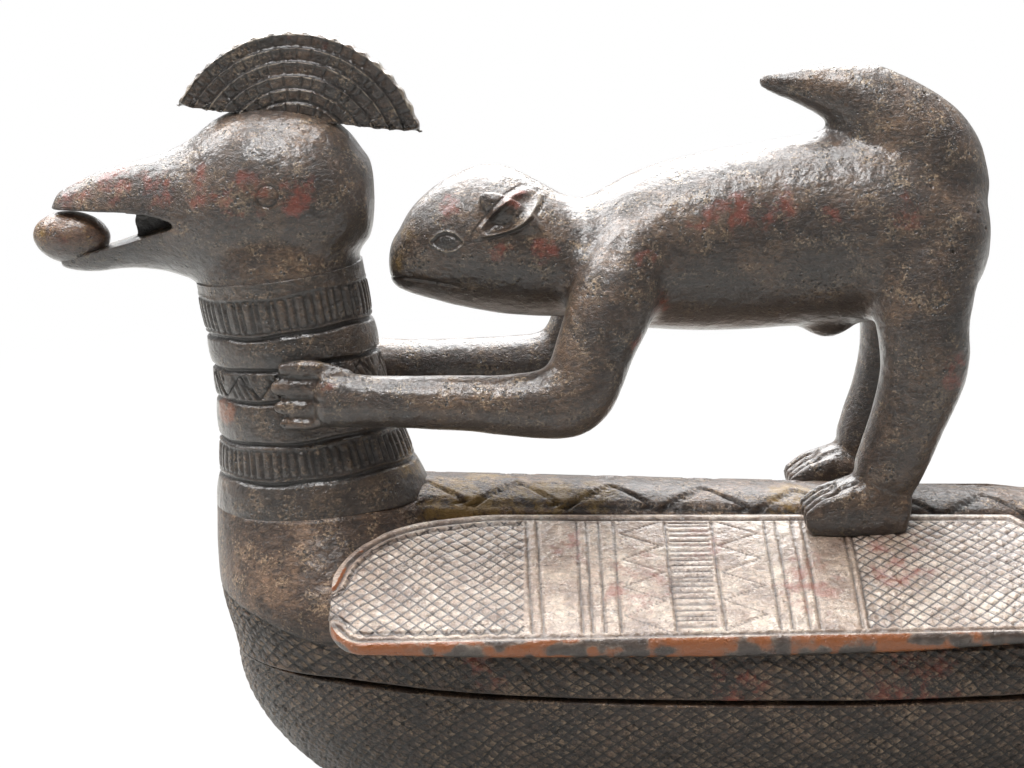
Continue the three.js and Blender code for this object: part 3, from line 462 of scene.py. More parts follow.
def stained_wood(name, stain, specks, cut_colour, roughness, grit=0.8, dust_and_glint=0.5, wax=1.0):
    """Dark stained hardwood: stain is three hex colours, from deepest to most worn."""
    material = bpy.data.materials.new(name)
    material.use_nodes = True
    tree = material.node_tree
    tree.nodes.clear()
    at = add(tree, "ShaderNodeTexCoord").outputs["Object"]

    # Brown patches where the stain has thinned, and the grain inside them
    patches = add(
        tree, "ShaderNodeTexNoise", {"Vector": at, "Scale": 46.0, "Detail": 9.0, "Roughness": 0.72}
    )
    stops = list(zip((0.34, 0.5, 0.66), stain))
    base = steps(add(tree, "ShaderNodeValToRGB", {"Fac": patches}), stops)
    grain_at = add(tree, "ShaderNodeMapping", {"Vector": at, "Scale": (45.0, 420.0, 420.0)})
    grain = add(tree, "ShaderNodeTexNoise", {"Vector": grain_at, "Scale": 1.0, "Detail": 3.0})
    grain_share = add(tree, "ShaderNodeMapRange", {"Value": grain, 1: 0.35, 2: 0.75, 3: 0.0, 4: 0.3})

    # Pale dust in the pores, gathered in clouds, which also serves as painted glints on the grain
    speck, cloud, blotch = (
        add(tree, "ShaderNodeTexNoise", {"Vector": at, "Scale": scale, "Detail": detail, "Roughness": rough})
        for scale, detail, rough in ((900.0, 3.0, 0.7), (110.0, 5.0, 0.6), (120.0, 7.0, 0.72))
    )
    speck_here = add(tree, "ShaderNodeMath", {0: speck, 1: cloud}, operation="MULTIPLY")
    speck_share = add(tree, "ShaderNodeMapRange", {"Value": speck_here, 1: 0.28, 2: 0.36, 3: 0.0, 4: dust_and_glint})

    # Dark pits, larger where the dust is thick
    pit = add(tree, "ShaderNodeTexVoronoi", {"Vector": at, "Scale": 420.0, "Randomness": 1.0})
    pit_size = add(tree, "ShaderNodeMapRange", {"Value": cloud, 1: 0.42, 2: 0.66, 3: 0.02, 4: 0.36})
    pit_off = add(tree, "ShaderNodeMath", {0: pit_size, 1: pit}, operation="SUBTRACT")
    pitted = add(tree, "ShaderNodeMapRange", {"Value": pit_off, 1: -0.05, 2: 0.08, 3: 0.0, 4: grit})

    # Fine wrinkles, which lighten and darken everything below them
    wrinkled = add(tree, "ShaderNodeMapping", {"Vector": at, "Scale": (360.0, 520.0, 640.0)})
    pores = add(
        tree,
        "ShaderNodeTexNoise",
        {"Vector": wrinkled, "Scale": 1.0, "Detail": 4.0, "Roughness": 0.7, "Distortion": 0.8},
    )
    swing = 0.75 * grit
    shade = add(tree, "ShaderNodeMapRange", {"Value": pores, 1: 0.36, 2: 0.66, 3: 1 - swing, 4: 1 + swing})

    # Dirt in the cuts (painted shade inside the beak); on cut scales a painted highlight on the raised face
    # and a dark joint
    cut, scaled, first, second = (
        add(tree, "ShaderNodeAttribute", attribute_name=label).outputs["Fac"]
        for label in ("cut", "scale_on", "scale_first", "scale_second")
    )
    cut_share = add(tree, "ShaderNodeMath", {0: cut, 1: 0.88}, operation="MULTIPLY")
    shares = [add(tree, "ShaderNodeMath", {0: value}, operation="FRACT") for value in (first, second)]
    to_ends = [add(tree, "ShaderNodeMath", {0: share, 1: 0.5}, operation="PINGPONG") for share in shares]
    nearest_end = add(tree, "ShaderNodeMath", {0: to_ends[0], 1: to_ends[1]}, operation="MINIMUM")
    lifted = add(tree, "ShaderNodeMath", {0: shares[0], 1: shares[1]}, operation="ADD")
    uneven = add(tree, "ShaderNodeMath", {0: lifted, 1: blotch}, operation="MULTIPLY")
    lit = add(tree, "ShaderNodeMapRange", {"Value": uneven, 1: 0.6, 2: 1.0, 3: 0.0, 4: 0.85})
    lit_share = add(tree, "ShaderNodeMath", {0: lit, 1: scaled}, operation="MULTIPLY")
    line = add(tree, "ShaderNodeMapRange", {"Value": nearest_end, 1: 0.11, 2: 0.03, 3: 0.0, 4: 0.92})
    line_share = add(tree, "ShaderNodeMath", {0: line, 1: scaled}, operation="MULTIPLY")

    # Painted shade where the surface faces down, and a little painted light where it faces up
    facing = add(tree, "ShaderNodeSeparateXYZ", {0: add(tree, "ShaderNodeNewGeometry").outputs["Normal"]})
    painted_facing_shade = add(
        tree, "ShaderNodeMapRange", {"Value": facing.outputs["Z"], 1: -0.7, 2: 0.42, 3: 0.2, 4: 1.15}
    )
    layers = [
        ("MIX", grain_share, linear(stain[2])),
        ("MIX", speck_share, linear(specks)),
        ("MIX", pitted, linear(stain[0])),
        ("MULTIPLY", 1.0, shade),
        ("MIX", cut_share, linear(cut_colour)),
        ("MIX", lit_share, linear(specks)),
        ("MIX", line_share, linear(cut_colour)),
        ("MULTIPLY", 1.0, painted_facing_shade),
    ]

    # Pigments, wear and pale painted highlights, where the pieces are marked for them, broken up by the
    # blotches
    for attribute, colour, reach, strength in (
        ("red", "#8f3a22", 0.24, 0.8),
        ("ochre", "#a8843f", 0.24, 0.75),
        ("worn", "#98500c", 0.42, 0.95),
        ("pale", "#b3a48e", 0.42, 0.8),
    ):
        here = add(tree, "ShaderNodeAttribute", attribute_name=attribute).outputs["Fac"]
        broken = add(tree, "ShaderNodeMath", {0: here, 1: reach, 2: blotch}, operation="MULTIPLY_ADD")
        share = add(tree, "ShaderNodeMapRange", {"Value": broken, 1: 0.66, 2: 0.8, 3: 0.0, 4: strength})
        shown = add(tree, "ShaderNodeMath", {0: share, 1: here}, operation="MULTIPLY")
        layers.append(("MIX", shown, linear(colour)))
    for blend, share, colour in layers:
        links = {0: share, 6: base, 7: colour}
        base = add(tree, "ShaderNodeMix", links, data_type="RGBA", blend_type=blend).outputs[2]

    # Gloss that varies with the clouds, and three depths of relief: ripples, pits and pores
    dullest = roughness + 0.12
    gloss = add(
        tree, "ShaderNodeMapRange", {"Value": cloud, 1: 0.3, 2: 0.7, 3: roughness - 0.08, 4: dullest}
    )
    ripples = add(tree, "ShaderNodeTexNoise", {"Vector": at, "Scale": 230.0, "Detail": 4.0})
    low = add(tree, "ShaderNodeBump", {"Height": ripples, "Strength": 0.6, "Distance": 0.0015})
    sunk = add(
        tree, "ShaderNodeBump", {"Height": pitted, "Strength": 0.8, "Distance": -0.0005, "Normal": low}
    )
    fine = add(
        tree, "ShaderNodeBump", {"Height": pores, "Strength": grit, "Distance": 0.0022, "Normal": sunk}
    )
    wood = add(
        tree,
        "ShaderNodeBsdfPrincipled",
        {
            "Base Color": base,
            "Roughness": gloss,
            "IOR": 1.5,
            "Normal": fine,
            "Coat Weight": wax,
            "Coat Roughness": 0.28,
            "Coat IOR": 1.6,
            "Coat Normal": sunk,
            "Sheen Weight": 0.04,
            "Sheen Roughness": 0.5,
            "Sheen Tint": linear("#f0e4d6"),
        },
    )
    add(tree, "ShaderNodeOutputMaterial", {"Surface": wood})
    return material


# Most of the lid: near black in its hollows and brown where hands have thinned the stain.
dark_wood = stained_wood(
    "stained_hardwood_dark", ("#110a06", "#3b2b20", "#6c533d"), "#b59d7f", "#0b0705", 0.36, 0.9, 0.5
)
# The bowl and the lid's side: less wax, so that the eye reads the scales and not the glare.
scaled_wood = stained_wood(
    "stained_hardwood_scaled", ("#140b06", "#433125", "#7d614b"), "#b99d7e", "#060403", 0.46, 0.8, 0.5, 0.35
)
# The wings: rubbed pale and smooth, and paler still as painted glare, the brightest faces of the object.
wing_wood = stained_wood(
    "stained_hardwood_rubbed", ("#5e4436", "#9a8270", "#c8b6a3"), "#e6dacd", "#24140c", 0.34, 0.5, 0.4, 0.8
)
# The neck: evenly dark, so that the collars show by their cuts alone.
neck_wood = stained_wood(
    "stained_hardwood_banded", ("#110a06", "#33271e", "#5d4937"), "#a58c70", "#0a0604", 0.4, 0.8, 0.45
)
# The nut: a warmer brown than the beak that holds it.
nut_wood = stained_wood(
    "stained_hardwood_nut", ("#2a1a12", "#5a3f30", "#86654a"), "#a8874e", "#1a120d", 0.36
)
print("finishes:", [m.name for m in (dark_wood, scaled_wood, wing_wood, neck_wood, nut_wood)])

# %% [markdown]
# Patterns that repeat over a surface are cut by Geometry Nodes. Each piece first gets three
# numbers at every point: run, the distance along its surface, rise, the distance up it, both in
# millimetres, and amount, which says where the pattern is cut. A tree reads them, works out how
# deep the knife goes, and moves the point inwards along its normal.

# %% Running a carving tree


def new_tree(name, numbers):
    """A geometry tree with a mesh input, named number inputs and a finish."""
    tree = bpy.data.node_groups.new(name, "GeometryNodeTree")
    tree.interface.new_socket("Geometry", in_out="INPUT", socket_type="NodeSocketGeometry")
    for label, value in numbers.items():
        tree.interface.new_socket(label, in_out="INPUT", socket_type="NodeSocketFloat").default_value = value
    tree.interface.new_socket("Finish", in_out="INPUT", socket_type="NodeSocketMaterial")
    tree.interface.new_socket("Geometry", in_out="OUTPUT", socket_type="NodeSocketGeometry")
    return tree, tree.nodes.new("NodeGroupInput")


def stroke_of(tree, start, value, middle, amount):
    """1 where a value is at the middle of a stroke, 0 beyond the stroke's width, inside the mask."""
    off = add(tree, "ShaderNodeMath", {0: value, 1: middle}, operation="SUBTRACT")
    away = add(tree, "ShaderNodeMath", {0: off}, operation="ABSOLUTE")
    stroke = add(
        tree,
        "ShaderNodeMapRange",
        {"Value": away, 1: start.outputs["Width"], 2: 0.0, 3: 0.0, 4: 1.0},
        interpolation_type="SMOOTHSTEP",
    )
    return add(tree, "ShaderNodeMath", {0: stroke, 1: amount}, operation="MULTIPLY")


def finish_tree(tree, start, mesh, cut, share):
    """Moves points inwards by a share of the depth, keeps the cut for the finish, closes the tree."""
    normal = add(tree, "GeometryNodeInputNormal")
    depth = add(tree, "ShaderNodeMath", {0: share, 1: start.outputs["Depth"]}, operation="MULTIPLY")
    back = add(tree, "ShaderNodeMath", {0: depth, 1: -0.001}, operation="MULTIPLY")
    way = add(tree, "ShaderNodeVectorMath", {0: normal, "Scale": back}, operation="SCALE")
    moved = add(tree, "GeometryNodeSetPosition", {"Geometry": mesh, "Offset": way})
    before = add(tree, "GeometryNodeInputNamedAttribute", {"Name": "cut"}, data_type="FLOAT")
    deeper = add(tree, "ShaderNodeMath", {0: before, 1: cut}, operation="MAXIMUM")
    kept = add(
        tree,
        "GeometryNodeStoreNamedAttribute",
        {"Geometry": moved, "Name": "cut", "Value": deeper},
        data_type="FLOAT",
        domain="POINT",
    )
    whole = add(tree, "GeometryNodeRealizeInstances", {"Geometry": kept})
    done = add(tree, "GeometryNodeSetMaterial", {"Geometry": whole, "Material": start.outputs["Finish"]})
    add(tree, "NodeGroupOutput", {"Geometry": done})


def run_tree(obj, tree, finish, run=None, rise=None, amount=None, **numbers):
    """Cuts a pattern into an object: marks it, runs the tree once and keeps the plain mesh."""
    for name, values in (("run", run), ("rise", rise), ("amount", amount)):
        if values is not None:
            layer = obj.data.attributes.new(name, "FLOAT", "POINT")
            layer.data.foreach_set("value", np.asarray(values, np.float32))
    modifier = obj.modifiers.new(tree.name, "NODES")
    modifier.node_group = tree
    sockets = {s.name: s.identifier for s in tree.interface.items_tree if s.in_out == "INPUT"}
    for label, value in numbers.items():
        modifier[sockets[label.replace("_", " ")]] = float(value)
    modifier[sockets["Finish"]] = finish
    settle(obj)
    for name in ("run", "rise", "amount"):
        if name in obj.data.attributes:
            obj.data.attributes.remove(obj.data.attributes[name])
    return obj


# %% [markdown]
# Scales cover the bowl, the lid's side, the foot of the breast and both ends of each wing. Two
# families of slanting cuts cross and leave diamonds. Where the carver tilted each diamond, its
# one edge stands over the next like a shingle. Every diamond gets its own small error, because
# they were cut by eye.

# %% The scale tree
scales, start = new_tree(
    "scales",
    {"Length": 7.0, "Height": 6.0, "Depth": 0.8, "Line": 0.18, "Shingle": 0.5, "Seed": 1.0},
)
run, rise, amount = (
    add(scales, "GeometryNodeInputNamedAttribute", {"Name": name}, data_type="FLOAT")
    for name in ("run", "rise", "amount")
)
along = add(scales, "ShaderNodeMath", {0: run, 1: start.outputs["Length"]}, operation="DIVIDE")
upward = add(scales, "ShaderNodeMath", {0: rise, 1: start.outputs["Height"]}, operation="DIVIDE")
first = add(scales, "ShaderNodeMath", {0: along, 1: upward}, operation="ADD")
second = add(scales, "ShaderNodeMath", {0: along, 1: upward}, operation="SUBTRACT")
cells, insides, edges = [], [], []
for family in (first, second):
    cells.append(add(scales, "ShaderNodeMath", {0: family}, operation="FLOOR"))
    insides.append(add(scales, "ShaderNodeMath", {0: family}, operation="FRACT"))
    centred = add(scales, "ShaderNodeMath", {0: insides[-1], 1: 0.5}, operation="SUBTRACT")
    edges.append(add(scales, "ShaderNodeMath", {0: centred}, operation="ABSOLUTE"))
cell = add(scales, "ShaderNodeCombineXYZ", {"X": cells[0], "Y": cells[1], "Z": start.outputs["Seed"]})
chance = add(scales, "ShaderNodeTexWhiteNoise", {"Vector": cell}, noise_dimensions="3D")
nearest = add(scales, "ShaderNodeMath", {0: edges[0], 1: edges[1]}, operation="MAXIMUM")
inside = add(scales, "ShaderNodeMath", {0: 0.5, 1: start.outputs["Line"]}, operation="SUBTRACT")
line = add(
    scales,
    "ShaderNodeMapRange",
    {"Value": nearest, 1: inside, 2: 0.5, 3: 0.0, 4: 1.0},
    interpolation_type="SMOOTHSTEP",
)
slant = add(scales, "ShaderNodeMath", {0: insides[0], 1: insides[1]}, operation="ADD")
low_side = add(scales, "ShaderNodeMath", {0: slant, 1: -0.5, 2: 1.0}, operation="MULTIPLY_ADD")
shingle = add(scales, "ShaderNodeMath", {0: low_side, 1: start.outputs["Shingle"]}, operation="MULTIPLY")
uneven = add(scales, "ShaderNodeMath", {0: chance, 1: 0.5, 2: 0.6}, operation="MULTIPLY_ADD")
both = add(scales, "ShaderNodeMath", {0: line, 1: shingle}, operation="ADD")
rough = add(scales, "ShaderNodeMath", {0: both, 1: uneven}, operation="MULTIPLY")
deep, dark = (
    add(scales, "ShaderNodeMath", {0: share, 1: amount}, operation="MULTIPLY") for share in (rough, line)
)
counted_mesh = start.outputs["Geometry"]
for label, value in (("scale_first", first), ("scale_second", second), ("scale_on", amount)):
    counted_mesh = add(
        scales,
        "GeometryNodeStoreNamedAttribute",
        {"Geometry": counted_mesh, "Name": label, "Value": value},
        data_type="FLOAT",
        domain="POINT",
    )
finish_tree(scales, start, counted_mesh, dark, deep)
print("scale tree nodes:", len(scales.nodes))

# %% [markdown]
# Ticks are short straight cuts side by side: the upright strokes on two collars of the neck, the
# ladder across the wing, the bricks of the crest. Each stroke is nudged a little by chance.

# %% The tick tree
ticks, start = new_tree("ticks", {"Spacing": 3.0, "Width": 0.35, "Depth": 0.8, "Nudge": 0.25, "Seed": 1.0})
run, amount = (
    add(ticks, "GeometryNodeInputNamedAttribute", {"Name": name}, data_type="FLOAT")
    for name in ("run", "amount")
)
counted = add(ticks, "ShaderNodeMath", {0: run, 1: start.outputs["Spacing"]}, operation="DIVIDE")
stroke = add(ticks, "ShaderNodeMath", {0: counted}, operation="FLOOR")
place_of = add(ticks, "ShaderNodeCombineXYZ", {"X": stroke, "Y": start.outputs["Seed"]})
chance = add(ticks, "ShaderNodeTexWhiteNoise", {"Vector": place_of}, noise_dimensions="3D")
spread = add(ticks, "ShaderNodeMath", {0: chance, 1: -0.5}, operation="ADD")
middle = add(
    ticks, "ShaderNodeMath", {0: spread, 1: start.outputs["Nudge"], 2: 0.5}, operation="MULTIPLY_ADD"
)
within = add(ticks, "ShaderNodeMath", {0: counted}, operation="FRACT")
masked = stroke_of(ticks, start, within, middle, amount)
finish_tree(ticks, start, start.outputs["Geometry"], masked, masked)
print("tick tree nodes:", len(ticks.nodes))

# %% [markdown]
# A zigzag runs along both sides of the ridge, and small triangles fill bands on the neck and the
# wings. It is one line that climbs and falls: the tree compares each point's rise with a
# triangle wave of its run.

# %% The zigzag tree
zigzag, start = new_tree(
    "zigzag", {"Period": 41.0, "Start": 0.0, "Low": 0.0, "High": 9.0, "Width": 1.2, "Depth": 1.0}
)
run, rise, amount = (
    add(zigzag, "GeometryNodeInputNamedAttribute", {"Name": name}, data_type="FLOAT")
    for name in ("run", "rise", "amount")
)
shifted = add(zigzag, "ShaderNodeMath", {0: run, 1: start.outputs["Start"]}, operation="SUBTRACT")
turns = add(zigzag, "ShaderNodeMath", {0: shifted, 1: start.outputs["Period"]}, operation="DIVIDE")
doubled = add(zigzag, "ShaderNodeMath", {0: turns, 1: 2.0}, operation="MULTIPLY")
wave = add(zigzag, "ShaderNodeMath", {0: doubled, 1: 1.0}, operation="PINGPONG")
level = add(
    zigzag,
    "ShaderNodeMapRange",
    {"Value": wave, 1: 0.0, 2: 1.0, 3: start.outputs["Low"], 4: start.outputs["High"]},
)
masked = stroke_of(zigzag, start, rise, level, amount)
finish_tree(zigzag, start, start.outputs["Geometry"], masked, masked)
print("zigzag tree nodes:", len(zigzag.nodes))

# %% [markdown]
# Beetles have left exit holes about 1.5 mm wide, mostly on the monkey's rump. The tree scatters
# points over the marked area with a fixed seed and sinks the wood round each of them.

# %% The beetle hole tree
holes, start = new_tree(
    "beetle_holes", {"Radius": 0.9, "Depth": 1.6, "Density": 3000.0, "Apart": 0.005, "Seed": 4.0}
)
amount = add(holes, "GeometryNodeInputNamedAttribute", {"Name": "amount"}, data_type="FLOAT")
whole_seed = add(holes, "FunctionNodeFloatToInt", {0: start.outputs["Seed"]})
scattered = add(
    holes,
    "GeometryNodeDistributePointsOnFaces",
    {
        "Mesh": start.outputs["Geometry"],
        "Distance Min": start.outputs["Apart"],
        "Density Max": start.outputs["Density"],
        "Density Factor": amount,
        "Seed": whole_seed,
    },
    distribute_method="POISSON",
)
closest = add(holes, "GeometryNodeProximity", {0: scattered.outputs["Points"]}, target_element="POINTS")
in_mm = add(holes, "ShaderNodeMath", {0: closest.outputs["Distance"], 1: 1000.0}, operation="MULTIPLY")
sunk = add(
    holes,
    "ShaderNodeMapRange",
    {"Value": in_mm, 1: start.outputs["Radius"], 2: 0.35, 3: 0.0, 4: 1.0},
    interpolation_type="SMOOTHSTEP",
)
finish_tree(holes, start, start.outputs["Geometry"], sunk, sunk)
print("hole tree nodes:", len(holes.nodes))

# %% [markdown]
# The bowl is a hull: a full oval in plan, a round section below, a low foot, and an inner wall
# that follows the outer one. Each level is the same oval at another size, so the whole bowl is
# one row of rings, from under the foot, up the outside, over the rim and its lip, and down into
# the hollow. The outside gets many points, because the scales are cut into it; the hollow and
# the underside get half as many.

# %% The bowl
HULL_POINTS = 820
HULL_DEPTH = RIM - FOOT_HEIGHT
SECTION_FULLNESS = 2.05


def plan_share(points, inset):
    """1 on the hull's own plan, drawn in by an inset, and more outside it."""
    along, across = points[:, 0] / (HALF_LENGTH - inset), points[:, 1] / (HALF_WIDTH - inset)
    return np.abs(along) ** PLAN_FULLNESS + np.abs(across) ** PLAN_FULLNESS


def even_oval(count, half_length, half_width, fullness):
    """Unit coordinates of an oval's points, evenly spaced along its edge once it is full size."""
    angle = np.linspace(0, 2 * np.pi, 40001)
    c, s = np.cos(angle), np.sin(angle)
    x = np.sign(c) * np.abs(c) ** (2 / fullness)
    y = np.sign(s) * np.abs(s) ** (2 / fullness)
    step = np.hypot(np.diff(x) * half_length, np.diff(y) * half_width)
    length = np.concatenate([[0], np.cumsum(step)])
    at = np.linspace(0, length[-1], count + 1)[:-1]
    return np.interp(at, length, x), np.interp(at, length, y), length[-1]


hull_x, hull_y, hull_girth = even_oval(HULL_POINTS, HALF_LENGTH, HALF_WIDTH, PLAN_FULLNESS)


def hull_ring(half_length, half_width, z, coarse=False):
    """One level of the hull."""
    skip = 2 if coarse else 1
    x, y = hull_x[::skip] * half_length, hull_y[::skip] * half_width
    return np.stack([x, y, np.full(HULL_POINTS // skip, z)], 1)


def hull_level(angle, inset, depth, coarse=False):
    """The level at an angle of the hull's section: 0 at the rim, a quarter turn at the bottom."""
    share = np.cos(angle) ** (2 / SECTION_FULLNESS)
    down = np.sin(angle) ** (2 / SECTION_FULLNESS)
    return hull_ring((HALF_LENGTH - inset) * share, (HALF_WIDTH - inset) * share, RIM - depth * down, coarse)


def girth_at(points):
    """How far round the hull each point lies."""
    turn = np.arctan2(points[:, 1] / HALF_WIDTH, points[:, 0] / HALF_LENGTH)
    plan_angle = np.arctan2(hull_y, hull_x)
    order = np.argsort(plan_angle)
    girths = np.arange(HULL_POINTS) / HULL_POINTS * hull_girth
    return np.interp(turn, plan_angle[order], girths[order])


FOOT_X, FOOT_Y = 88.0, 46.0
rings = [hull_ring(FOOT_X * s, FOOT_Y * s, 0, True) for s in (0.3, 0.65, 0.9)]
foot_levels = ((1.4, 0), (0.4, 0.5), (0, 1.5), (0, 6), (0, 11), (0, 15), (0.6, 17))
rings += [hull_ring(FOOT_X - i, FOOT_Y - i, z) for i, z in foot_levels]
rings += [hull_level(a, 0, HULL_DEPTH) for a in np.linspace(1.05, 0.015, 84)]
rim_rounding = ((0.2, 1.2), (0.7, 0.75), (1.6, 0.5), (3.4, 0.3))
rings += [hull_ring(HALF_LENGTH - i, HALF_WIDTH - i, RIM - d) for i, d in rim_rounding]
LIP, WALL, FLOOR_HEIGHT = 8.0, 13, 23
rings += [
    hull_ring(HALF_LENGTH - i, HALF_WIDTH - i, RIM + z, True)
    for i, z in (
        (5, 0), (LIP, 0), (LIP, 1.5), (LIP, 4.2), (LIP + 0.7, 5), (WALL - 0.8, 5), (WALL, 4.2), (WALL, 1.5)
    )
]
rings += [hull_level(a, WALL, RIM - FLOOR_HEIGHT, True) for a in np.linspace(0.02, 1.5, 34)]
bowl = piece("bowl_hull", *skin(rings))

points, normals = points_of(bowl)
drop = RIM - points[:, 2]
outside = (normals[:, 2] < 0.95) & (drop > 0.1)
outside &= plan_share(points, 3) > 1 - (drop.clip(0) / HULL_DEPTH) ** 1.6 * 1.02
slide = 1.3 * noise(points, 14, 3)
amount = outside * soft_step(1.0, 2.6, drop) * (1 - soft_step(80, 92, drop))
carve(bowl, outside * soft_step(6, 0, drop) * 0.5 * (0.5 + 0.5 * noise(points, 22, 8)))
unevenness(bowl, [(38, 0.6), (11, 0.25)], 20)
LENGTHS = round(hull_girth / 6.6)
run_tree(
    bowl, scales, scaled_wood, run=girth_at(points) + slide, rise=drop * 1.12 + slide, amount=amount,
    Length=hull_girth / LENGTHS, Height=5.2, Depth=0.85, Line=0.2, Shingle=0.75, Seed=3,
)
print("bowl triangles:", triangles(bowl))

# %% [markdown]
# The lid's outside is one surface: an upright side, two slopes, a ridge along the top and a
# breast that swells out in front. At any level its outline is the larger of two ovals, the
# roof's and the breast's, blended where they meet as the carver's gouge would leave it. The
# outline is cut into even steps, and the levels are joined as before.

# %% The lid's outline at a level
LID_POINTS = 840
SLOPE_TOP = RIM + 52
RIDGE_HEIGHT, RIDGE_FALL = 14.5, 6
roof_levels = np.array(
    [
        [RIM + 0.3, 218, 218, 92, 2.3],
        [RIM + 11, 218, 218, 93, 2.3],
        [RIM + 22, 218, 217, 92, 2.3],
        [SLOPE_TOP, 218, 166.5, 25, 4],
        [SLOPE_TOP + 0.45 * RIDGE_HEIGHT, 218, 152, 24, 4],
        [SLOPE_TOP + 0.75 * RIDGE_HEIGHT, 218, 152, 19.5, 4],
        [SLOPE_TOP + 0.93 * RIDGE_HEIGHT, 218, 152, 12.5, 4],
        [SLOPE_TOP + RIDGE_HEIGHT, 218, 152, 5, 4],
    ]
)
breast_levels = np.array(
    [
        [RIM + 0.3, 38.5, 69.5, 55.2],
        [RIM + 13.4, 42.5, 69.5, 61.8],
        [RIM + 25.4, 45.3, 69.5, 65.0],
        [RIM + 40.9, 46.5, 56.0, 56.0],
        [RIM + 52.8, 46.5, 48.5, 47.0],
        [RIM + 60, 46.5, 46.5, 42.8],
        [RIM + 61.5, 41.5, 41.5, 38],
        [RIM + 67, 40, 40, 36.5],
    ]
)


def level_values(levels, z, window=0.0):
    """Sizes at a height, averaged over a window so that no crease shows between levels."""
    heights = [z] if window == 0 else np.linspace(z - window, z + window, 9)
    return [np.mean(np.interp(heights, levels[:, 0], levels[:, k])) for k in range(1, levels.shape[1])]


def lid_ring(z, grow=0.0):
    """Even points round the lid at a height, from the tip of the breast round the right side."""
    front, back, wide, fullness = level_values(roof_levels, z)
    window = np.clip(NECK_FOOT[2] - 0.4 - z, 0, 7)
    breast_front, breast_back, breast_wide = level_values(breast_levels, z, window)
    x = np.concatenate([[0], np.cumsum(np.sin(np.linspace(0, np.pi, 2400)) ** 0.7)])
    tip = min(-front, NECK_FOOT[0] - breast_front)
    x = tip + (back - tip) * x / x[-1]
    half = np.where(x < 0, front, back)
    roof = wide * np.clip(1 - np.abs(x / half) ** fullness, 0, 1) ** (1 / fullness)
    from_middle = x - NECK_FOOT[0]
    reach = np.where(from_middle < 0, breast_front, breast_back)
    breast = breast_wide * np.clip(1 - (from_middle / reach) ** 2, 0, 1) ** 0.5
    blend = 14 * soft_step(4, 26, np.minimum(roof, breast))
    overlap = np.clip(blend - np.abs(roof - breast), 0, None)
    y = np.maximum(roof, breast) + overlap**2 / (4 * np.maximum(blend, 0.01))
    length = np.concatenate([[0], np.cumsum(np.hypot(np.diff(x), np.diff(y)))])
    at = np.linspace(0, length[-1], LID_POINTS // 2 + 1)
    hx, hy = np.interp(at, length, x), np.interp(at, length, y)
    hy[0] = hy[-1] = 0
    fall = RIDGE_FALL * max(z - RIM, 0) / (RIDGE_TOP - RIM) * hx / HALF_LENGTH * soft_step(-215, -150, hx)
    side = np.stack([hx, hy, z - fall], 1)
    return np.vstack([side, (side[1:-1] * [1, -1, 1])[::-1]])


def room_ring(z, front, back, wide, fullness=PLAN_FULLNESS):
    """A level of the lid's hollow, with half as many points, in the same order."""
    angle = np.linspace(np.pi, 0, 4001)
    c, s = np.cos(angle), np.sin(angle)
    x = np.sign(c) * np.abs(c) ** (2 / fullness)
    x = np.where(x < 0, x * front, x * back)
    y = wide * np.abs(s) ** (2 / fullness)
    length = np.concatenate([[0], np.cumsum(np.hypot(np.diff(x), np.diff(y)))])
    at = np.linspace(0, length[-1], LID_POINTS // 4 + 1)
    side = np.stack([np.interp(at, length, x), np.interp(at, length, y), np.full(len(at), z)], 1)
    side[0, 1] = side[-1, 1] = 0
    return np.vstack([side, (side[1:-1] * [1, -1, 1])[::-1]])


print("lid girth at the rim, mm:", round(float(np.abs(np.diff(lid_ring(RIM + 1), axis=0)).sum()), 0))

# %% [markdown]
# The levels are close where carving shows: 1.1 mm on the side and round the ridge, more on the
# slopes, which the wings cover. The top is closed down its middle, right side to left.

# %% The lid
ROOM_LOW, ROOM_TOP, ROOM_LENGTH, ROOM_WIDTH, LIP_STEP = 15.5, 42.9, 205, 79, 5.8
rings = [
    room_ring(
        RIM + ROOM_LOW + (ROOM_TOP - ROOM_LOW) * s,
        ROOM_LENGTH - 54.5 * s,
        ROOM_LENGTH - 53 * s,
        ROOM_WIDTH - 61.8 * s,
        2.3 + 1.7 * s,
    )
    for s in (1, 0.8, 0.6, 0.4, 0.2, 0)
]
rings += [room_ring(RIM + z, ROOM_LENGTH, ROOM_LENGTH, ROOM_WIDTH) for z in (10, LIP_STEP)]
mouth_length, mouth_width = ROOM_LENGTH + LIP_STEP, ROOM_WIDTH + LIP_STEP
rings += [room_ring(RIM + z, mouth_length, mouth_length, mouth_width) for z in (LIP_STEP, 3, 0.3)]
chamfer = []
for inset, z in ((3.4, 0.3), (1.6, 0.6), (0.7, 0.9), (0.2, 1.5)):
    ring = lid_ring(RIM + z)
    ring[:, :2] *= 1 - inset / np.linalg.norm(ring[:, :2], axis=1)[:, None]
    ring[:, 2] = RIM + z
    chamfer.append(ring)
heights = np.concatenate(
    [
        np.linspace(RIM + 2.2, RIM + 21, 18),
        [RIM + 21.6, RIM + 22.3, RIM + 23],
        np.linspace(RIM + 23.6, SLOPE_TOP - 0.6, 34),
        np.linspace(SLOPE_TOP, SLOPE_TOP + 0.5 * RIDGE_HEIGHT, 8),
        SLOPE_TOP
        + RIDGE_HEIGHT * np.array([0.58, 0.66, 0.74, 0.79, 0.84, 0.885, 0.925, 0.95, 0.972, 0.988, 1.0]),
    ]
)
outer = chamfer + [lid_ring(z) for z in heights]
lid_points, lid_faces = skin(rings + outer)
top_start = len(lid_points) - 2 - LID_POINTS
half = LID_POINTS // 2
fan_centre = len(lid_points) - 1
lid_faces = [f for f in lid_faces if fan_centre not in f]
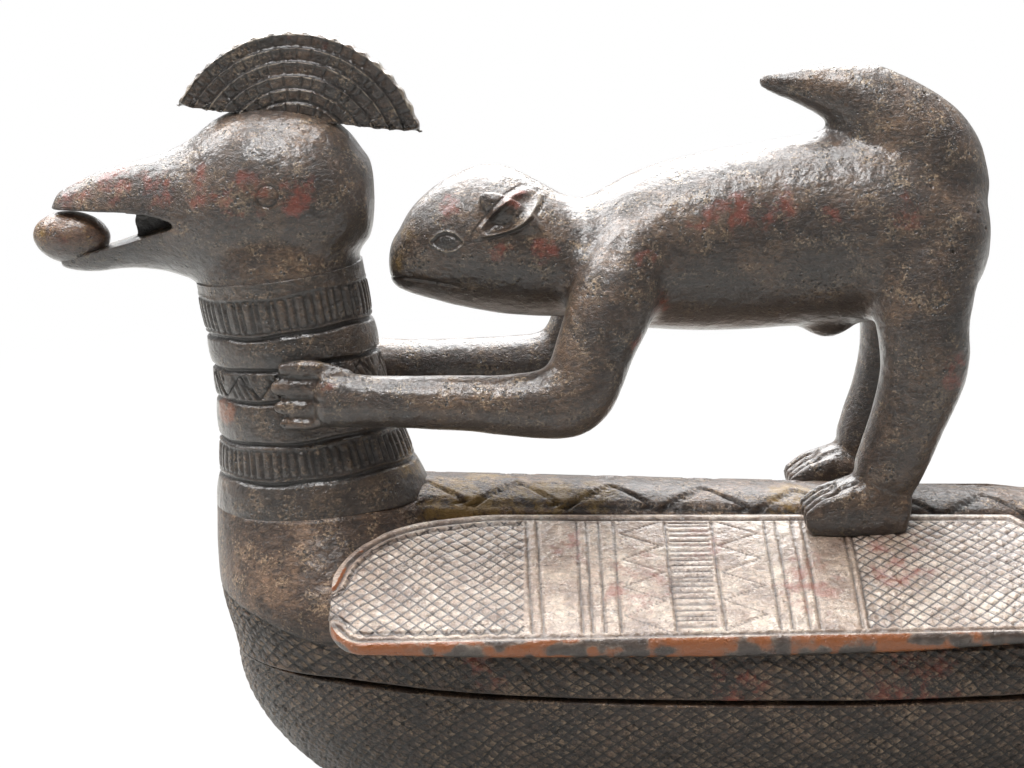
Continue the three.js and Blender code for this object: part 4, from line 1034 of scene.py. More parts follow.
for i in range(half):
    a, b = top_start + i, top_start + i + 1
    c, d = top_start + (LID_POINTS - i - 1) % LID_POINTS, top_start + (LID_POINTS - i) % LID_POINTS
    lid_faces.append([a, b, c] if d == a else ([a, b, d] if c == b else [a, b, c, d]))
lid_points = lid_points[:-1]
lid = piece("lid_roof", lid_points, lid_faces)
print("lid triangles:", triangles(lid))

# %% [markdown]
# On the lid, scales cover the upright side and run up onto the foot of the breast, where a
# slanting line ends them. The zigzag follows both flanks of the ridge, between its foot and its
# crown, and a thin line runs along its foot.

# %% Carving the lid
points, normals = points_of(lid)
x, up = points[:, 0], points[:, 2] - RIM
outside = ((plan_share(points, 5) > 1) | (up > 20)) & (up > 0.9) & (normals[:, 2] > -0.6)
edge_of_scales = np.interp(x, [-226, -205, -178, -150], [27, 23.5, 15, 22])
slide = 1.4 * noise(points, 14, 5) + 0.7 * noise(points, 5, 17)
rounds = girth_at(points) + slide
on_side = outside * soft_step(1.4, 2.6, up) * (1 - soft_step(-0.7, 0.5, up - edge_of_scales))
edge_cut = groove(np.abs(up - edge_of_scales), 1.1) * outside * (x < -150)
unevenness(lid, [(40, 0.5), (12, 0.3)], 31)
carve(lid, 0.7 * edge_cut, edge_cut)
run_tree(
    lid, scales, scaled_wood, run=rounds, rise=up * 1.1 + slide, amount=on_side,
    Length=hull_girth / LENGTHS, Height=5.4, Depth=0.85, Line=0.2, Shingle=0.7, Seed=5,
)


def ridge_places(points):
    """Along the bird, out from the ridge's middle, and up from the ridge's foot."""
    x, y, z = points.T
    return x, np.abs(y), z + RIDGE_FALL * x / HALF_LENGTH - SLOPE_TOP


points, _ = points_of(lid)
x, flank, crown_height = ridge_places(points)
climb = crown_height + 0.9 * (25 - flank) + 0.8 * noise(points, 18, 13)
on_flank = (flank > 0.5) * (flank < 26) * soft_step(4, 5, crown_height) * soft_step(-146, -142, x)
on_flank *= 1 - soft_step(128, 132, x)
run_tree(
    lid, zigzag, scaled_wood, run=x + noise(points, 30, 14), rise=climb, amount=on_flank,
    Period=39.6, Start=-115.7, Low=10.0, High=30.0, Width=2.5, Depth=1.7,
)
points, _ = points_of(lid)
x, flank, crown_height = ridge_places(points)
foot_line = groove(np.abs(crown_height - 8.2), 0.9) * (flank > 18) * (flank < 27) * (x > -135)
carve(lid, 0.6 * foot_line, foot_line)
ochre_spots = [
    [-108, -16, 176, 30], [-84, -14, 178, 22], [-128, -18, 176, 18], [-62, -14, 178, 16], [20, -18, 178, 20]
]
red_spots = [
    [-60, 92, 124, 30], [60, -93, 122, 34], [-10, -93, 120, 22], [-110, -80, 124, 18], [150, -60, 130, 40]
]
mark(lid, "ochre", near(points, ochre_spots) * 0.95)
mark(lid, "red", near(points, red_spots) * 0.75)

# %% [markdown]
# Each wing is a slab that lies on the slope, thinner at both ends, with a rubbed and slightly
# rolled outer edge. Its plan is a rounded front, a straight outer side and a rear that sweeps
# back. At each place along the bird its section is a closed loop: over the top from the ridge
# outwards, round the edge and back underneath.

# %% A wing's loops
WING_FRONT, WING_REAR = -172.0, 170.0
WING_INNER, WING_OUTER = 25.3, 95.0
TOP_POINTS, UNDER_POINTS = 96, 24


def slope_at(y):
    return RIM + 22 + 30 * (HALF_WIDTH - y) / (HALF_WIDTH - 25)


def wing_span_at(x):
    """Inner and outer edge of the wing at a place along the bird."""
    curve = np.linspace(0, 1, 200)
    handles = np.array([[66, WING_INNER], [21.8, 28.3], [1, 51.4], [0, 65.9]]) + [WING_FRONT, 0]
    back = 1 - curve
    weights = np.stack([back**3, 3 * back**2 * curve, 3 * back * curve**2, curve**3], 1)
    front_curve = weights @ handles
    inner = np.interp(x, front_curve[::-1, 0], front_curve[::-1, 1])
    inner = max(inner, np.interp(x, [WING_REAR - 60, WING_REAR - 4.5], [WING_INNER, WING_OUTER - 13]))
    corner = 15.0
    outer = WING_OUTER
    for end in (WING_FRONT + corner - x, x - WING_REAR + corner):
        if end > 0:
            share = math.sqrt(max(1 - (min(end, corner) / corner) ** 2, 0))
            outer = min(outer, WING_OUTER - corner + corner * share)
    return inner, max(outer, inner + 0.6)


def wing_loop(x):
    """One closed section of the left wing, on the far side of the mirror: y is positive."""
    inner, outer = wing_span_at(x)
    rise = 7 * ((x - WING_FRONT) / (WING_REAR - WING_FRONT) - 0.5)
    edge_top = slope_at(WING_OUTER) + 7.5 + rise
    inner_top = slope_at(25) + 7.5
    bottom_at = [-172, -165, -110, -10, 60, 105, 170]
    bottom = np.interp(x, bottom_at, [134.4, 133.2, 131.9, 132.2, 134.6, 138.0, 140.8])

    def top(y):
        share = (y - WING_INNER) / (WING_OUTER - WING_INNER)
        lifted = 2.2 * soft_step(-118, -158, x) * (1 - share)
        return inner_top + (edge_top - inner_top) * share + 1.5 * 4 * share * (1 - share) + lifted

    def under(y):
        share = (y - WING_INNER) / (WING_OUTER - WING_INNER)
        low = bottom + (slope_at(WING_INNER) - 3 - bottom) * (1 - share)
        return np.minimum(low, top(y) - 2.2)

    ends = 1 - 0.5 * (soft_step(20, 0, x - WING_FRONT) + soft_step(20, 0, WING_REAR - x))
    roll = min(2.6, (outer - inner) * 0.35) * ends + 0.2
    across = np.linspace(inner, outer - roll, TOP_POINTS)
    loop = [[y, z] for y, z in zip(across, top(across))]
    high, low = top(outer - roll), under(outer)
    arc = np.linspace(0, np.pi, 12)[1:-1]
    mid, tall = (high + low) / 2, (high - low) / 2
    loop += [[outer - roll + roll * math.sin(a) ** 0.7, mid + tall * math.cos(a)] for a in arc]
    back = np.linspace(outer - roll, inner, UNDER_POINTS)
    loop += [[y, z] for y, z in zip(back, under(back))]
    loop += [[inner, under(inner) + (top(inner) - under(inner)) * s] for s in (0.3, 0.7)]
    loop = np.array(loop)
    return np.column_stack([np.full(len(loop), x), loop])


ends = np.array([0, 0.15, 0.4])
between = np.linspace(WING_FRONT + 1.2, WING_REAR - 1.2, 452)
stations = np.concatenate([WING_FRONT + 0.3 + ends, between, WING_REAR - 0.3 - ends[::-1]])
wing_points, wing_faces = skin([wing_loop(x) for x in stations])
print("wing stations:", len(stations), "points in a loop:", len(wing_loop(0.0)))

# %% [markdown]
# Two lines border the wing. Between them the carver laid out panels from front to back: scales,
# plain fields between paired lines, arrowheads, a ladder of strokes, more arrowheads, and scales
# again. The same panels are cut on both wings.

# %% Carving the wings
PANEL_LINES = [-92.7, -88.3, -72.4, -68.5, -63.5, -57.2, -35.5, -16.2, 5.6, 10.5, 17.3, 21.5, 38.0, 41.0]
FRONT_SCALES_END, REAR_SCALES_START = -94.6, 41.5
LADDER_START, LADDER_END = -34.6, -17.6
ARROWHEADS = [(-55.0, -36.5, 22.5), (-15.0, 4.0, 30.0)]
FAR_AWAY = 99.0
grid = np.linspace(WING_FRONT, WING_REAR, 500)
inner_edge, outer_edge = np.array([wing_span_at(v) for v in grid]).T
outline = np.vstack([np.column_stack([grid, inner_edge]), np.column_stack([grid, outer_edge])[::-1]])
outline = np.vstack([outline, outline[:1]])[::6]
wings = {}
for side, label in ((-1, "left"), (1, "right")):
    wing = piece("wing_" + label + "_wood", wing_points * [1, side, 1], wing_faces)
    points, normals = points_of(wing)
    x, across = points[:, 0], np.abs(points[:, 1])
    warp = 0.8 * noise(points, 30, 6)
    upper = soft_step(0.3, 0.6, normals[:, 2])
    chosen = np.where(upper > 0.1)[0]
    to_edge = np.full(len(points), FAR_AWAY)
    to_edge[chosen] = line_distance(np.column_stack([x, across])[chosen], outline)
    border = groove(np.abs(to_edge - 2.9 - 0.4 * warp), 1.25)
    border = np.maximum(border, groove(np.abs(to_edge - 6.0), 1.0) * (x < -96))
    field = soft_step(4.2, 5.0, to_edge) * upper
    lines = np.zeros(len(points))
    for at in PANEL_LINES:
        lean = at + 0.03 * (across - 28)
        lines = np.maximum(lines, groove(np.abs(x - lean - 0.6 * warp), 0.95))
    lines *= field
    carve(wing, 0.75 * lines + 1.0 * border * upper, np.maximum(lines, border * upper))
    scaled = 1 - soft_step(FRONT_SCALES_END, FRONT_SCALES_END + 0.6, x)
    scaled = field * np.maximum(scaled, soft_step(REAR_SCALES_START, REAR_SCALES_START + 0.7, x))
    slide = 0.9 * noise(points, 16, 7)
    run_tree(
        wing, scales, wing_wood, run=x + slide, rise=across * 1.05 + slide, amount=scaled,
        Length=6.4, Height=5.4, Depth=0.6, Line=0.17, Shingle=0.45, Seed=8 + side,
    )
    ladder = field * soft_step(LADDER_START, LADDER_START + 0.6, x)
    ladder *= 1 - soft_step(LADDER_END, LADDER_END + 0.6, x)
    run_tree(
        wing, ticks, wing_wood, run=across + 0.4 * warp, amount=ladder,
        Spacing=2.9, Width=0.3, Depth=0.5, Nudge=0.5, Seed=3,
    )
    for low, high, start_at in ARROWHEADS:
        here = field * soft_step(low - 0.5, low, x) * (1 - soft_step(high, high + 0.5, x))
        run_tree(
            wing, zigzag, wing_wood, run=across, rise=x + warp * 0.5, amount=here,
            Period=15.0, Start=start_at, Low=low + 1, High=high - 1, Width=1.0, Depth=0.55,
        )
    points, normals = points_of(wing)
    sideways = np.where((normals[:, 2] < 0.85) & (np.abs(points[:, 1]) > 48))[0]
    to_side = np.full(len(points), FAR_AWAY)
    flat = np.column_stack([points[:, 0], np.abs(points[:, 1])])
    to_side[sideways] = line_distance(flat[sideways], outline)
    rim_of = (1 - soft_step(2.0, 2.9, to_side)) * (points[:, 0] < 150)
    dark_patch = soft_step(-0.15, 0.6, noise(points * [1, 1, 2.5], 13, 9) + 0.6 * noise(points, 4, 12))
    mark(wing, "worn", rim_of * (1 - 0.95 * dark_patch))
    mark(wing, "cut", rim_of * (0.35 + 0.6 * dark_patch))
    red_spots = [
        [-50, 60, 150, 26], [20, 60, 152, 24], [60, 50, 156, 26], [-75, 40, 160, 16], [-20, 40, 160, 16]
    ]
    mark(wing, "red", near(points * [1, side, 1], red_spots) * 0.8)
    wings[label] = wing
print("wing triangles:", triangles(wings["left"]))

# %% [markdown]
# The neck wears six carved collars. From the breast up: a plain one, one of upright strokes, a
# plain one, one of triangles, a plain one and another of strokes. A narrow groove parts each
# from the next, and each swells a little between its grooves. The rings tilt back as they climb,
# as the neck leans forward.

# %% The neck
COLLARS = [15.5, 14.7, 16.3, 12.1, 12.3, 17.1]
COLLAR_GROOVE, COLLAR_GAP = 1.4, 1.2
STROKE_PITCH, TRIANGLE_PITCH, TRIANGLES = 3.5, 17.5, 12
NECK_POINTS = 350
NECK_NARROW = 0.92
angle = np.arange(NECK_POINTS) / NECK_POINTS * 2 * np.pi


def neck_radius(up):
    up = np.clip(up, 0, 1)
    return 34.6 + 11.9 * (1 - up) ** 2.5 + 1.0 * up**2.5


def neck_ring(height, extra):
    """A level of the neck: its axis leans forward, and the ring tilts back as it climbs."""
    up = height / NECK_HEIGHT
    radius = neck_radius(up) + extra
    tilt = math.atan2(NECK_LEAN, NECK_HEIGHT) * (0.5 + 0.25 * up)
    centre = NECK_FOOT + (NECK_TOP - NECK_FOOT) * up
    along = radius * np.cos(angle)
    x, z = centre[0] + along * math.cos(tilt), centre[2] + along * math.sin(tilt)
    return np.stack([x, radius * NECK_NARROW * np.sin(angle), z], 1)


rings, neck_marks = [], []
for height in np.arange(-9.0, NECK_HEIGHT + 6, 0.62):
    wave = 0.9 * np.sin(angle + 0.6) + 0.5 * np.sin(3 * angle + 1.0) + 0.3 * np.sin(7 * angle + height * 0.2)
    own = height + wave
    extra = np.zeros(NECK_POINTS)
    cut = np.zeros(NECK_POINTS)
    start_of = 0.0
    for i, tall in enumerate(COLLARS):
        if i:
            gap = groove(np.abs(own - (start_of - COLLAR_GROOVE / 2)), 1.3)
            extra -= 1.5 * gap
            cut = np.maximum(cut, gap)
        share = np.clip((own - start_of) / tall, 0, 1)
        extra += 0.9 * np.sin(np.pi * share) ** 0.6 * (1 if i % 2 == 0 else 0.75)
        start_of += tall + COLLAR_GAP
    below = 1 - soft_step(-0.9, 0.7, own)
    extra -= 4.5 * below
    cut = np.maximum(cut, groove(np.abs(own + 0.3), 1.5))
    rings.append(neck_ring(height, extra - 0.2))
    neck_marks.append(np.stack([own, cut], 1))
neck_points, neck_faces = skin(rings)
neck = piece("neck_collars", neck_points, neck_faces)
kept = np.vstack(neck_marks + [[[-9, 0]], [[100, 0]]])
mark(neck, "cut", kept[:, 1])
level = kept[:, 0]
round_at = np.concatenate([np.tile(angle, len(rings)), [0, 0]])
turns = round_at / (2 * np.pi)
for low, tall, count in ((16.7, 14.7, 66), (76.9, 17.1, 58)):
    from_border = np.minimum(np.abs(level - low - 2.0), np.abs(level - low - tall + 2.0))
    borders = groove(from_border, 0.7)
    band = soft_step(low + 2, low + 2.8, level) * (1 - soft_step(low + tall - 2.8, low + tall - 2, level))
    carve(neck, 0.6 * borders, borders)
    run_tree(
        neck, ticks, neck_wood, run=turns * count * STROKE_PITCH, amount=band,
        Spacing=STROKE_PITCH, Width=0.3, Depth=1.1, Nudge=0.35, Seed=low,
    )
band = soft_step(50.9, 51.7, level) * (1 - soft_step(60.6, 61.4, level))
run_tree(
    neck, zigzag, neck_wood, run=turns * TRIANGLES * TRIANGLE_PITCH, rise=level, amount=band,
    Period=TRIANGLE_PITCH, Start=4.0, Low=51.4, High=61.0, Width=1.0, Depth=1.0,
)
slanted = band * soft_step(0.2, 0.3, np.sin(round_at * TRIANGLES / 2 + 2.0) ** 2)
run_tree(
    neck, ticks, neck_wood, run=turns * TRIANGLES * TRIANGLE_PITCH + level * 0.45, amount=slanted,
    Spacing=STROKE_PITCH, Width=0.28, Depth=0.7, Nudge=0.3, Seed=2,
)
unevenness(neck, [(16, 0.5), (6, 0.15)], 50)
points, _ = points_of(neck)
mark(neck, "worn", near(points, [[-219, -18, 214.5, 9]]) * 0.75)
mark(neck, "ochre", near(points, [[-140, -10, 190, 14], [-150, 20, 186, 14]]) * 0.8)
print("neck triangles:", triangles(neck))

# %% [markdown]
# The bird's head is a skull and a beak in one flowing form, with a stub of the neck below. The
# open mouth is cut out as a wedge before the skin is grown, and smoothing then rounds its edges
# as a knife would.

# %% The bird's head
HEAD_BACK = NECK_TOP[0] + 40
HEAD_BOTTOM, HEAD_HEIGHT = NECK_TOP[2] - 1.5, 76.5
BEAK_TIP = HEAD_BACK - 137.5
EYE_X, EYE_Z, EYE_RADIUS = -198.0, 306.5, 4.4
head_rows = [
    [0.025, 0.25, 0.73, 0.55],
    [0.083, 0.12, 0.865, 0.8],
    [0.17, 0.03, 0.96, 0.95],
    [0.28, 0, 0.995, 1],
    [0.388, 0, 0.988, 0.98],
    [0.483, 0, 0.92, 0.89],
    [0.563, 0.035, 0.81, 0.73],
    [0.65, 0.08, 0.735, 0.56],
    [0.752, 0.092, 0.685, 0.45],
    [0.853, 0.07, 0.63, 0.37],
    [0.94, 0.08, 0.55, 0.28],
]
head_stations = in_box(HEAD_BACK, BEAK_TIP, HEAD_BOTTOM, HEAD_HEIGHT, 64, head_rows)
skull = loft(head_stations, (0.18, 0.45), 2.0, (-1, 0, 0), 96, 140)
nape = [neck_ring(height, extra) for height, extra in ((91, -1.2), (100, -0.7), (111.5, -2), (117.5, -6))]
corner = np.array([BEAK_TIP + 57, HEAD_BOTTOM + 28])
upper = corner + np.array([[0, 0], [-6, 1.7], [-12, 3.0], [-22.8, 4.0], [-30, 4.1], [-72, 4.1]])
lower = corner + np.array(
    [[-72, -60], [-52, -60], [-52, -16.5], [-40, -12.6], [-29.4, -10.0], [-22, -7.6], [-11, -3.8]]
)


def plate(line, half):
    """Points and faces of a flat plate: a line in the XZ plane, carried half a width to each side."""
    return skin([np.column_stack([line[:, 0], np.full(len(line), y), line[:, 1]]) for y in (-half, half)])


head = grown("bird_head_wood", [skull, skin(nape)], 1.6, 12)
mouth = piece("mouth", *plate(np.vstack([upper, lower]), 40.0))
cutter = head.modifiers.new("mouth", "BOOLEAN")
cutter.operation = "DIFFERENCE"
cutter.solver = "EXACT"
cutter.object = mouth
settle(head)
bpy.data.objects.remove(mouth)
web_line = corner + np.array([[3, 3], [-8, 4.5], [-18.5, 6.0], [-20.5, 0], [-18, -10.0], [-8, -6.0], [3, -3]])
head = grown("bird_head_wood", [head, plate(web_line, 4.5)], 0.95, 5)
x, y, z = points_of(head)[0].T
# Painted shade: the inside of the mouth is marked as a cut, so the finish darkens it.
painted_mouth_shade = (x > BEAK_TIP + 30) & (x < corner[0] + 1) & (np.abs(y) < 5.5)
painted_mouth_shade &= np.abs(z - corner[1] + (corner[0] - x) * 0.12) < 8
mark(head, "cut", painted_mouth_shade * 0.95)
unevenness(head, [(30, 0.6), (9, 0.22)], 60)


def eye_places(obj):
    """The points, how far each is from the eye's middle, and whether it faces sideways."""
    points, normals = points_of(obj)
    to_eye = np.hypot(points[:, 0] - EYE_X, points[:, 2] - EYE_Z)
    return points, to_eye, np.abs(normals[:, 1]) > 0.45


_, to_eye, sideways = eye_places(head)
refine(head, (to_eye < 7.5) & sideways, 2)
points, to_eye, sideways = eye_places(head)
eye_ring = groove(np.abs(to_eye - EYE_RADIUS), 0.85) * sideways
carve(head, 0.6 * eye_ring, 0.45 * eye_ring)
head.data.materials.clear()
head.data.materials.append(dark_wood)
red_spots = [
    [-282, -10, 306, 14],
    [-262, -14, 310, 16],
    [-246, -18, 308, 17],
    [-225, -26, 309, 17],
    [-208, -30, 306, 18],
    [-186, -32, 306, 16],
]
mark(head, "red", near(points, red_spots) * 0.85)
print("head triangles:", triangles(head))

# %% [markdown]
# The bird holds a nut at the tip of its beak. It is a plain egg shape that the beak is carved
# round, rubbed yellow at its end.

# %% The nut
nut = piece("nut_wood", *ellipsoid((BEAK_TIP + 10, 0, corner[1] - 7.3), (16.4, 10.9, 11.4), 4))
sub = nut.modifiers.new("finer", "SUBSURF")
sub.levels = sub.render_levels = 2
settle(nut)
unevenness(nut, [(12, 0.7), (5, 0.2)], 70)
points, normals = points_of(nut)
mark(nut, "ochre", near(points, [[BEAK_TIP - 5, 0, 286, 13]]) * 0.8)
mark(nut, "red", near(points, [[BEAK_TIP + 12, -8, 287, 12]]) * 0.6)
nut.data.materials.append(nut_wood)
print("nut triangles:", triangles(nut))

# %% [markdown]
# The crest is a half disc of feathers in curved rows, like brickwork. The outer row is the
# thinnest, and each row inward stands a step prouder. A section loop is carried from the front
# tip over the top to the rear tip, and the joints between the bricks are cut afterwards, row
# by row, with every second row shifted by half a brick.

# %% The crest
CREST_RADIUS, CREST_ROWS, ROW_WIDTH = 54.3, 5, 5.6
crest_centre = np.array([NECK_TOP[0] + 7, HEAD_BOTTOM + HEAD_HEIGHT - 24])
front_angle = math.pi - math.asin(23.5 / CREST_RADIUS)
rear_angle = math.asin(12.5 / CREST_RADIUS)
crest_middle, crest_half = (front_angle + rear_angle) / 2, (front_angle - rear_angle) / 2
base_distance = CREST_RADIUS * math.cos(crest_half)


def crest_thickness(radius):
    """Full thickness at a distance from the centre: a step up for every row inward."""
    row = (CREST_RADIUS - radius) / ROW_WIDTH
    whole = np.floor(row)
    within = row - whole
    stepped = np.minimum(whole + soft_step(0, 0.22, within) - 0.35 * within, CREST_ROWS - 1)
    return 7.4 + 2.4 * np.clip(stepped, 0, None)


across = np.linspace(0, 1, 84)
rings = []
for u in np.concatenate([[-0.9985, -0.994], np.linspace(-0.985, 0.985, 226), [0.994, 0.9985]]):
    a = crest_middle - crest_half * u
    base = base_distance / math.cos(crest_half * u)
    tooth = 0.7 * (0.5 + 0.5 * math.cos(a * 38 * math.pi / (2 * crest_half) + 0.9 * math.sin(a * 5)))
    rim_radius = CREST_RADIUS - 0.8 - tooth
    radius = base + (rim_radius - base) * across
    half = crest_thickness(radius) / 2 * min(1, (rim_radius - base) / 6 + 0.25)
    edge = np.linspace(0, np.pi, 8)[1:-1]
    tip_half = half[-1]
    loop_r = np.concatenate([radius, rim_radius + 0.8 * np.sin(edge), radius[::-1], [base] * 3])
    loop_y = np.concatenate([half, tip_half * np.cos(edge), -half[::-1], half[0] * np.array([-0.5, 0, 0.5])])
    rings.append(
        np.stack([crest_centre[0] + loop_r * math.cos(a), loop_y, crest_centre[1] + loop_r * math.sin(a)], 1)
    )
crest = piece("crest_wood", *skin(rings))
points, normals = points_of(crest)
off_x, off_z = (points[:, [0, 2]] - crest_centre).T
radius, turned = np.hypot(off_x, off_z), np.arctan2(off_z, off_x)
on_face = soft_step(0.35, 0.6, np.abs(normals[:, 1]))
row = np.floor((CREST_RADIUS - radius - 0.5) / ROW_WIDTH)
within = (CREST_RADIUS - radius - 0.5) / ROW_WIDTH - row
row_lines = groove(np.minimum(within, 1 - within) * ROW_WIDTH, 0.9) * on_face
lit_edge = groove(np.abs(within * ROW_WIDTH - 1.3), 0.8) * on_face
carve(crest, 0.8 * row_lines - 0.35 * lit_edge, row_lines)
# Painted highlight: the lit edge of each row and the outer rim are marked pale.
painted_rim_highlight = soft_step(CREST_RADIUS - 3.2, CREST_RADIUS - 1.4, radius)
mark(crest, "pale", np.maximum(lit_edge, 0.8 * painted_rim_highlight) * (0.7 + 0.4 * noise(points, 5, 15)))
bricks = on_face * soft_step(0.1, 0.2, within) * (1 - soft_step(0.84, 0.96, within))
bricks *= radius < CREST_RADIUS - 1.5
row_radius = CREST_RADIUS - (row + 0.5) * ROW_WIDTH
round_rows = turned * row_radius + row * 2.9 + 0.9 * noise(points, 11, 16)
run_tree(
    crest, ticks, dark_wood, run=round_rows, amount=bricks * 0.8,
    Spacing=5.8, Width=0.13, Depth=0.7, Nudge=0.6, Seed=6,
)
unevenness(crest, [(9, 0.35), (4, 0.2)], 80)
points, _ = points_of(crest)
mark(crest, "red", near(points, [[-188, 0, 371, 10], [-179, -4, 366, 8]]) * 0.6)
print("crest triangles:", triangles(crest))

# %% [markdown]
# The bird's tail lies behind the monkey, outside the photograph. It is made as a flat fan in the
# manner of the rest: seven feathers parted by grooves that spread from the root, with slanting
# barb strokes on each feather.

# %% The tail fan
TAIL_LENGTH, TAIL_WIDTH, TAIL_THICKNESS, FEATHERS = 168, 118, 13, 7
tail_end = HALF_LENGTH + 56
tail_root = tail_end - TAIL_LENGTH
tail_top = RIDGE_TOP - 6 - TAIL_THICKNESS
tail_rows = [
    [0, 0, 0.3, 1],
    [0.25, 0.15, 0.62, 1],
    [0.5, 0.5, 0.86, 0.9],
    [0.75, 0.85, 1, 0.8],
    [0.96, 1, 0.86, 0.55],
]
tail_stations = [
    [tail_root + TAIL_LENGTH * a, 0, tail_top - 14 * d, TAIL_WIDTH / 2 * w, TAIL_THICKNESS / 2 * t]
    for a, d, w, t in tail_rows
]
tail = piece("tail_fan_wood", *loft(tail_stations, (0.5, 1), 3.0, (1, 0, 0), 220, 170))
points, normals = points_of(tail)
x, y, z = points.T
along = (x - tail_root) / TAIL_LENGTH
spread = y / (TAIL_WIDTH * (0.45 + along.clip(0) * 0.5))
feather = (spread + 0.5) * FEATHERS
within = feather - np.floor(feather)
gap = np.minimum(within, 1 - within) * TAIL_WIDTH * (0.45 + along * 0.5) / FEATHERS
shown = soft_step(0.4, 0.5, along) * (np.abs(spread) < 0.5)
grooves = groove(gap, 1.8) * shown * soft_step(0.15, 0.4, np.abs(normals[:, 2]))
carve(tail, 1.5 * grooves, grooves)
quill = groove(np.abs(within - 0.5) * TAIL_WIDTH * 0.9 / FEATHERS, 0.8)
quill *= shown * soft_step(0.3, 0.5, normals[:, 2])
carve(tail, 0.5 * quill, quill)
barbs = shown * soft_step(0.3, 0.6, np.abs(normals[:, 2])) * soft_step(1.6, 2.4, gap)
run_tree(
    tail, ticks, dark_wood, run=x - 9 * np.abs(within - 0.5), amount=barbs,
    Spacing=3.2, Width=0.3, Depth=0.5, Nudge=0.3, Seed=9,
)
unevenness(tail, [(30, 0.5), (8, 0.2)], 90)
print("tail triangles:", triangles(tail))

# %% [markdown]
# The monkey is grown in two goes. First its large forms, trunk, head, horn-like tail, arms and
# legs, are joined with coarse cubes and smoothed well, so that shoulders and hips flow. Then the
# small forms, ears, fingers, toes and paws, are joined to that with fine cubes and smoothed only
# lightly, so that they stay crisp.

# %% The monkey's large forms
BELLY = RIDGE_TOP + 66.5
SNOUT = HEAD_BACK + 4.5
TORSO_FRONT, TORSO_BACK, TRUNK_HEIGHT = SNOUT + 84, 88, 85
trunk_rows = [
    [0, 0.08, 0.68, 0.75],
    [0.136, 0.02, 0.81, 0.92],
    [0.3, 0, 0.895, 0.93],
    [0.46, 0.01, 0.947, 0.88],
    [0.62, 0.035, 0.99, 0.9],
    [0.82, 0.06, 0.98, 1],
    [0.98, 0.15, 0.82, 0.95],
]
trunk_stations = in_box(TORSO_FRONT, TORSO_BACK, BELLY, TRUNK_HEIGHT, 70, trunk_rows)
trunk = loft(trunk_stations, (0.5, 0.57), 2.1, (1, 0, 0), 72, 100)
face_rows = [
    [0.037, 0.185, 0.53, 0.5],
    [0.1, 0.146, 0.704, 0.66],
    [0.195, 0.11, 0.84, 0.78],
    [0.305, 0.066, 0.936, 0.9],
    [0.47, 0.018, 1, 1],
    [0.634, 0, 0.913, 1],
    [0.79, 0, 0.8, 0.93],
    [0.97, 0.04, 0.72, 0.82],
]
face = loft(in_box(SNOUT, SNOUT + 95, BELLY + 6.5, 65, 60, face_rows), (0.3, 0.4), 2.0, (1, 0, 0), 72, 90)
horn_rows = [
    [-0.05, -1.5, 1],
    [0.03, -0.5, 0.95],
    [0.31, 0.5, 0.66],
    [0.5, 0.8, 0.47],
    [0.69, 0.92, 0.32],
    [0.91, 1, 0.165],
]
horn_stations = [
    [70 - 71 * f, 0, BELLY + TRUNK_HEIGHT + 20 * u, 23.9 * t, 28.5 * t] for f, u, t in horn_rows
]
horn = loft(horn_stations, (0.3, 1))
bump = ellipsoid((34, 0, BELLY + 3.6), (12, 7.2, 7.2))


def mixed(start, end, share, down=0.0):
    """A point between two places, lowered a little."""
    return np.array(start) + (np.array(end) - np.array(start)) * share - [0, 0, down]


HAND_RISE = 52
HAND_LEVEL = NECK_FOOT[2] + HAND_RISE
hand_y = NECK_NARROW * (neck_radius(HAND_RISE / NECK_HEIGHT) + 0.9) + 4.5
palm = np.array([NECK_FOOT[0] - NECK_LEAN * HAND_RISE / NECK_HEIGHT + 12, hand_y, HAND_LEVEL])
shoulder = np.array([TORSO_FRONT + 21, 24, BELLY + 44.2])
elbow = np.array([TORSO_FRONT - 6, hand_y, HAND_LEVEL + 1])
wrist = palm + [16, 0, 0]
arm_rows = [
    [*shoulder, 10.0, 13.0],
    [*mixed(shoulder, elbow, 0.32), 14.9, 18.2],
    [*mixed(shoulder, elbow, 0.68), 14.2, 16.8],
    [*elbow, 13.5, 16.2],
    [*mixed(elbow, wrist, 0.2, 3), 13.0, 14.6],
    [*mixed(elbow, wrist, 0.5, 2), 12.4, 12.5],
    [*mixed(elbow, wrist, 0.88, 1), 11.3, 11.5],
    [*palm, 8.5, 13.0],
]
leg_y, leg_x = 28.0, 70.0
hip, hock = BELLY + 51, RIDGE_TOP + 57
ground = slope_at(leg_y) + 7.5
ankle = ground + 21
leg_rows = [
    [leg_x, leg_y * 0.62, hip, 13.2, 24.0],
    [leg_x, leg_y * 0.8, hip - (hip - hock) * 0.35, 17.0, 23.5],
    [leg_x, leg_y * 0.95, hip - (hip - hock) * 0.7, 16.4, 20.0],
    [leg_x + 1, leg_y, hock, 15.5, 19.0],
    [leg_x - 4.2, leg_y, hock + (ankle - hock) * 0.45, 14.6, 16.7],
    [leg_x - 9.5, leg_y, hock + (ankle - hock) * 0.8, 14.0, 15.9],
    [leg_x - 14, leg_y, ankle - 3, 13.6, 15.0],
]
limbs = [
    loft([[x, side * y, z, w, h] for x, y, z, w, h in rows], tips)
    for side in (-1, 1)
    for rows, tips in ((arm_rows, (0.5, 0.35)), (leg_rows, (0.4, 0.5)))
]
monkey = grown("monkey_wood", [trunk, face, horn, bump] + limbs, 2.2, 16)
print("large forms, mm:", np.ptp(points_of(monkey)[0], axis=0).round(1))

# %% [markdown]
# The small forms are lofts too. Fingers lie along the side of the neck, one above the other.
# Toes rest on the wing. The ears are low leaf-shaped mounds that are hollowed after growing.

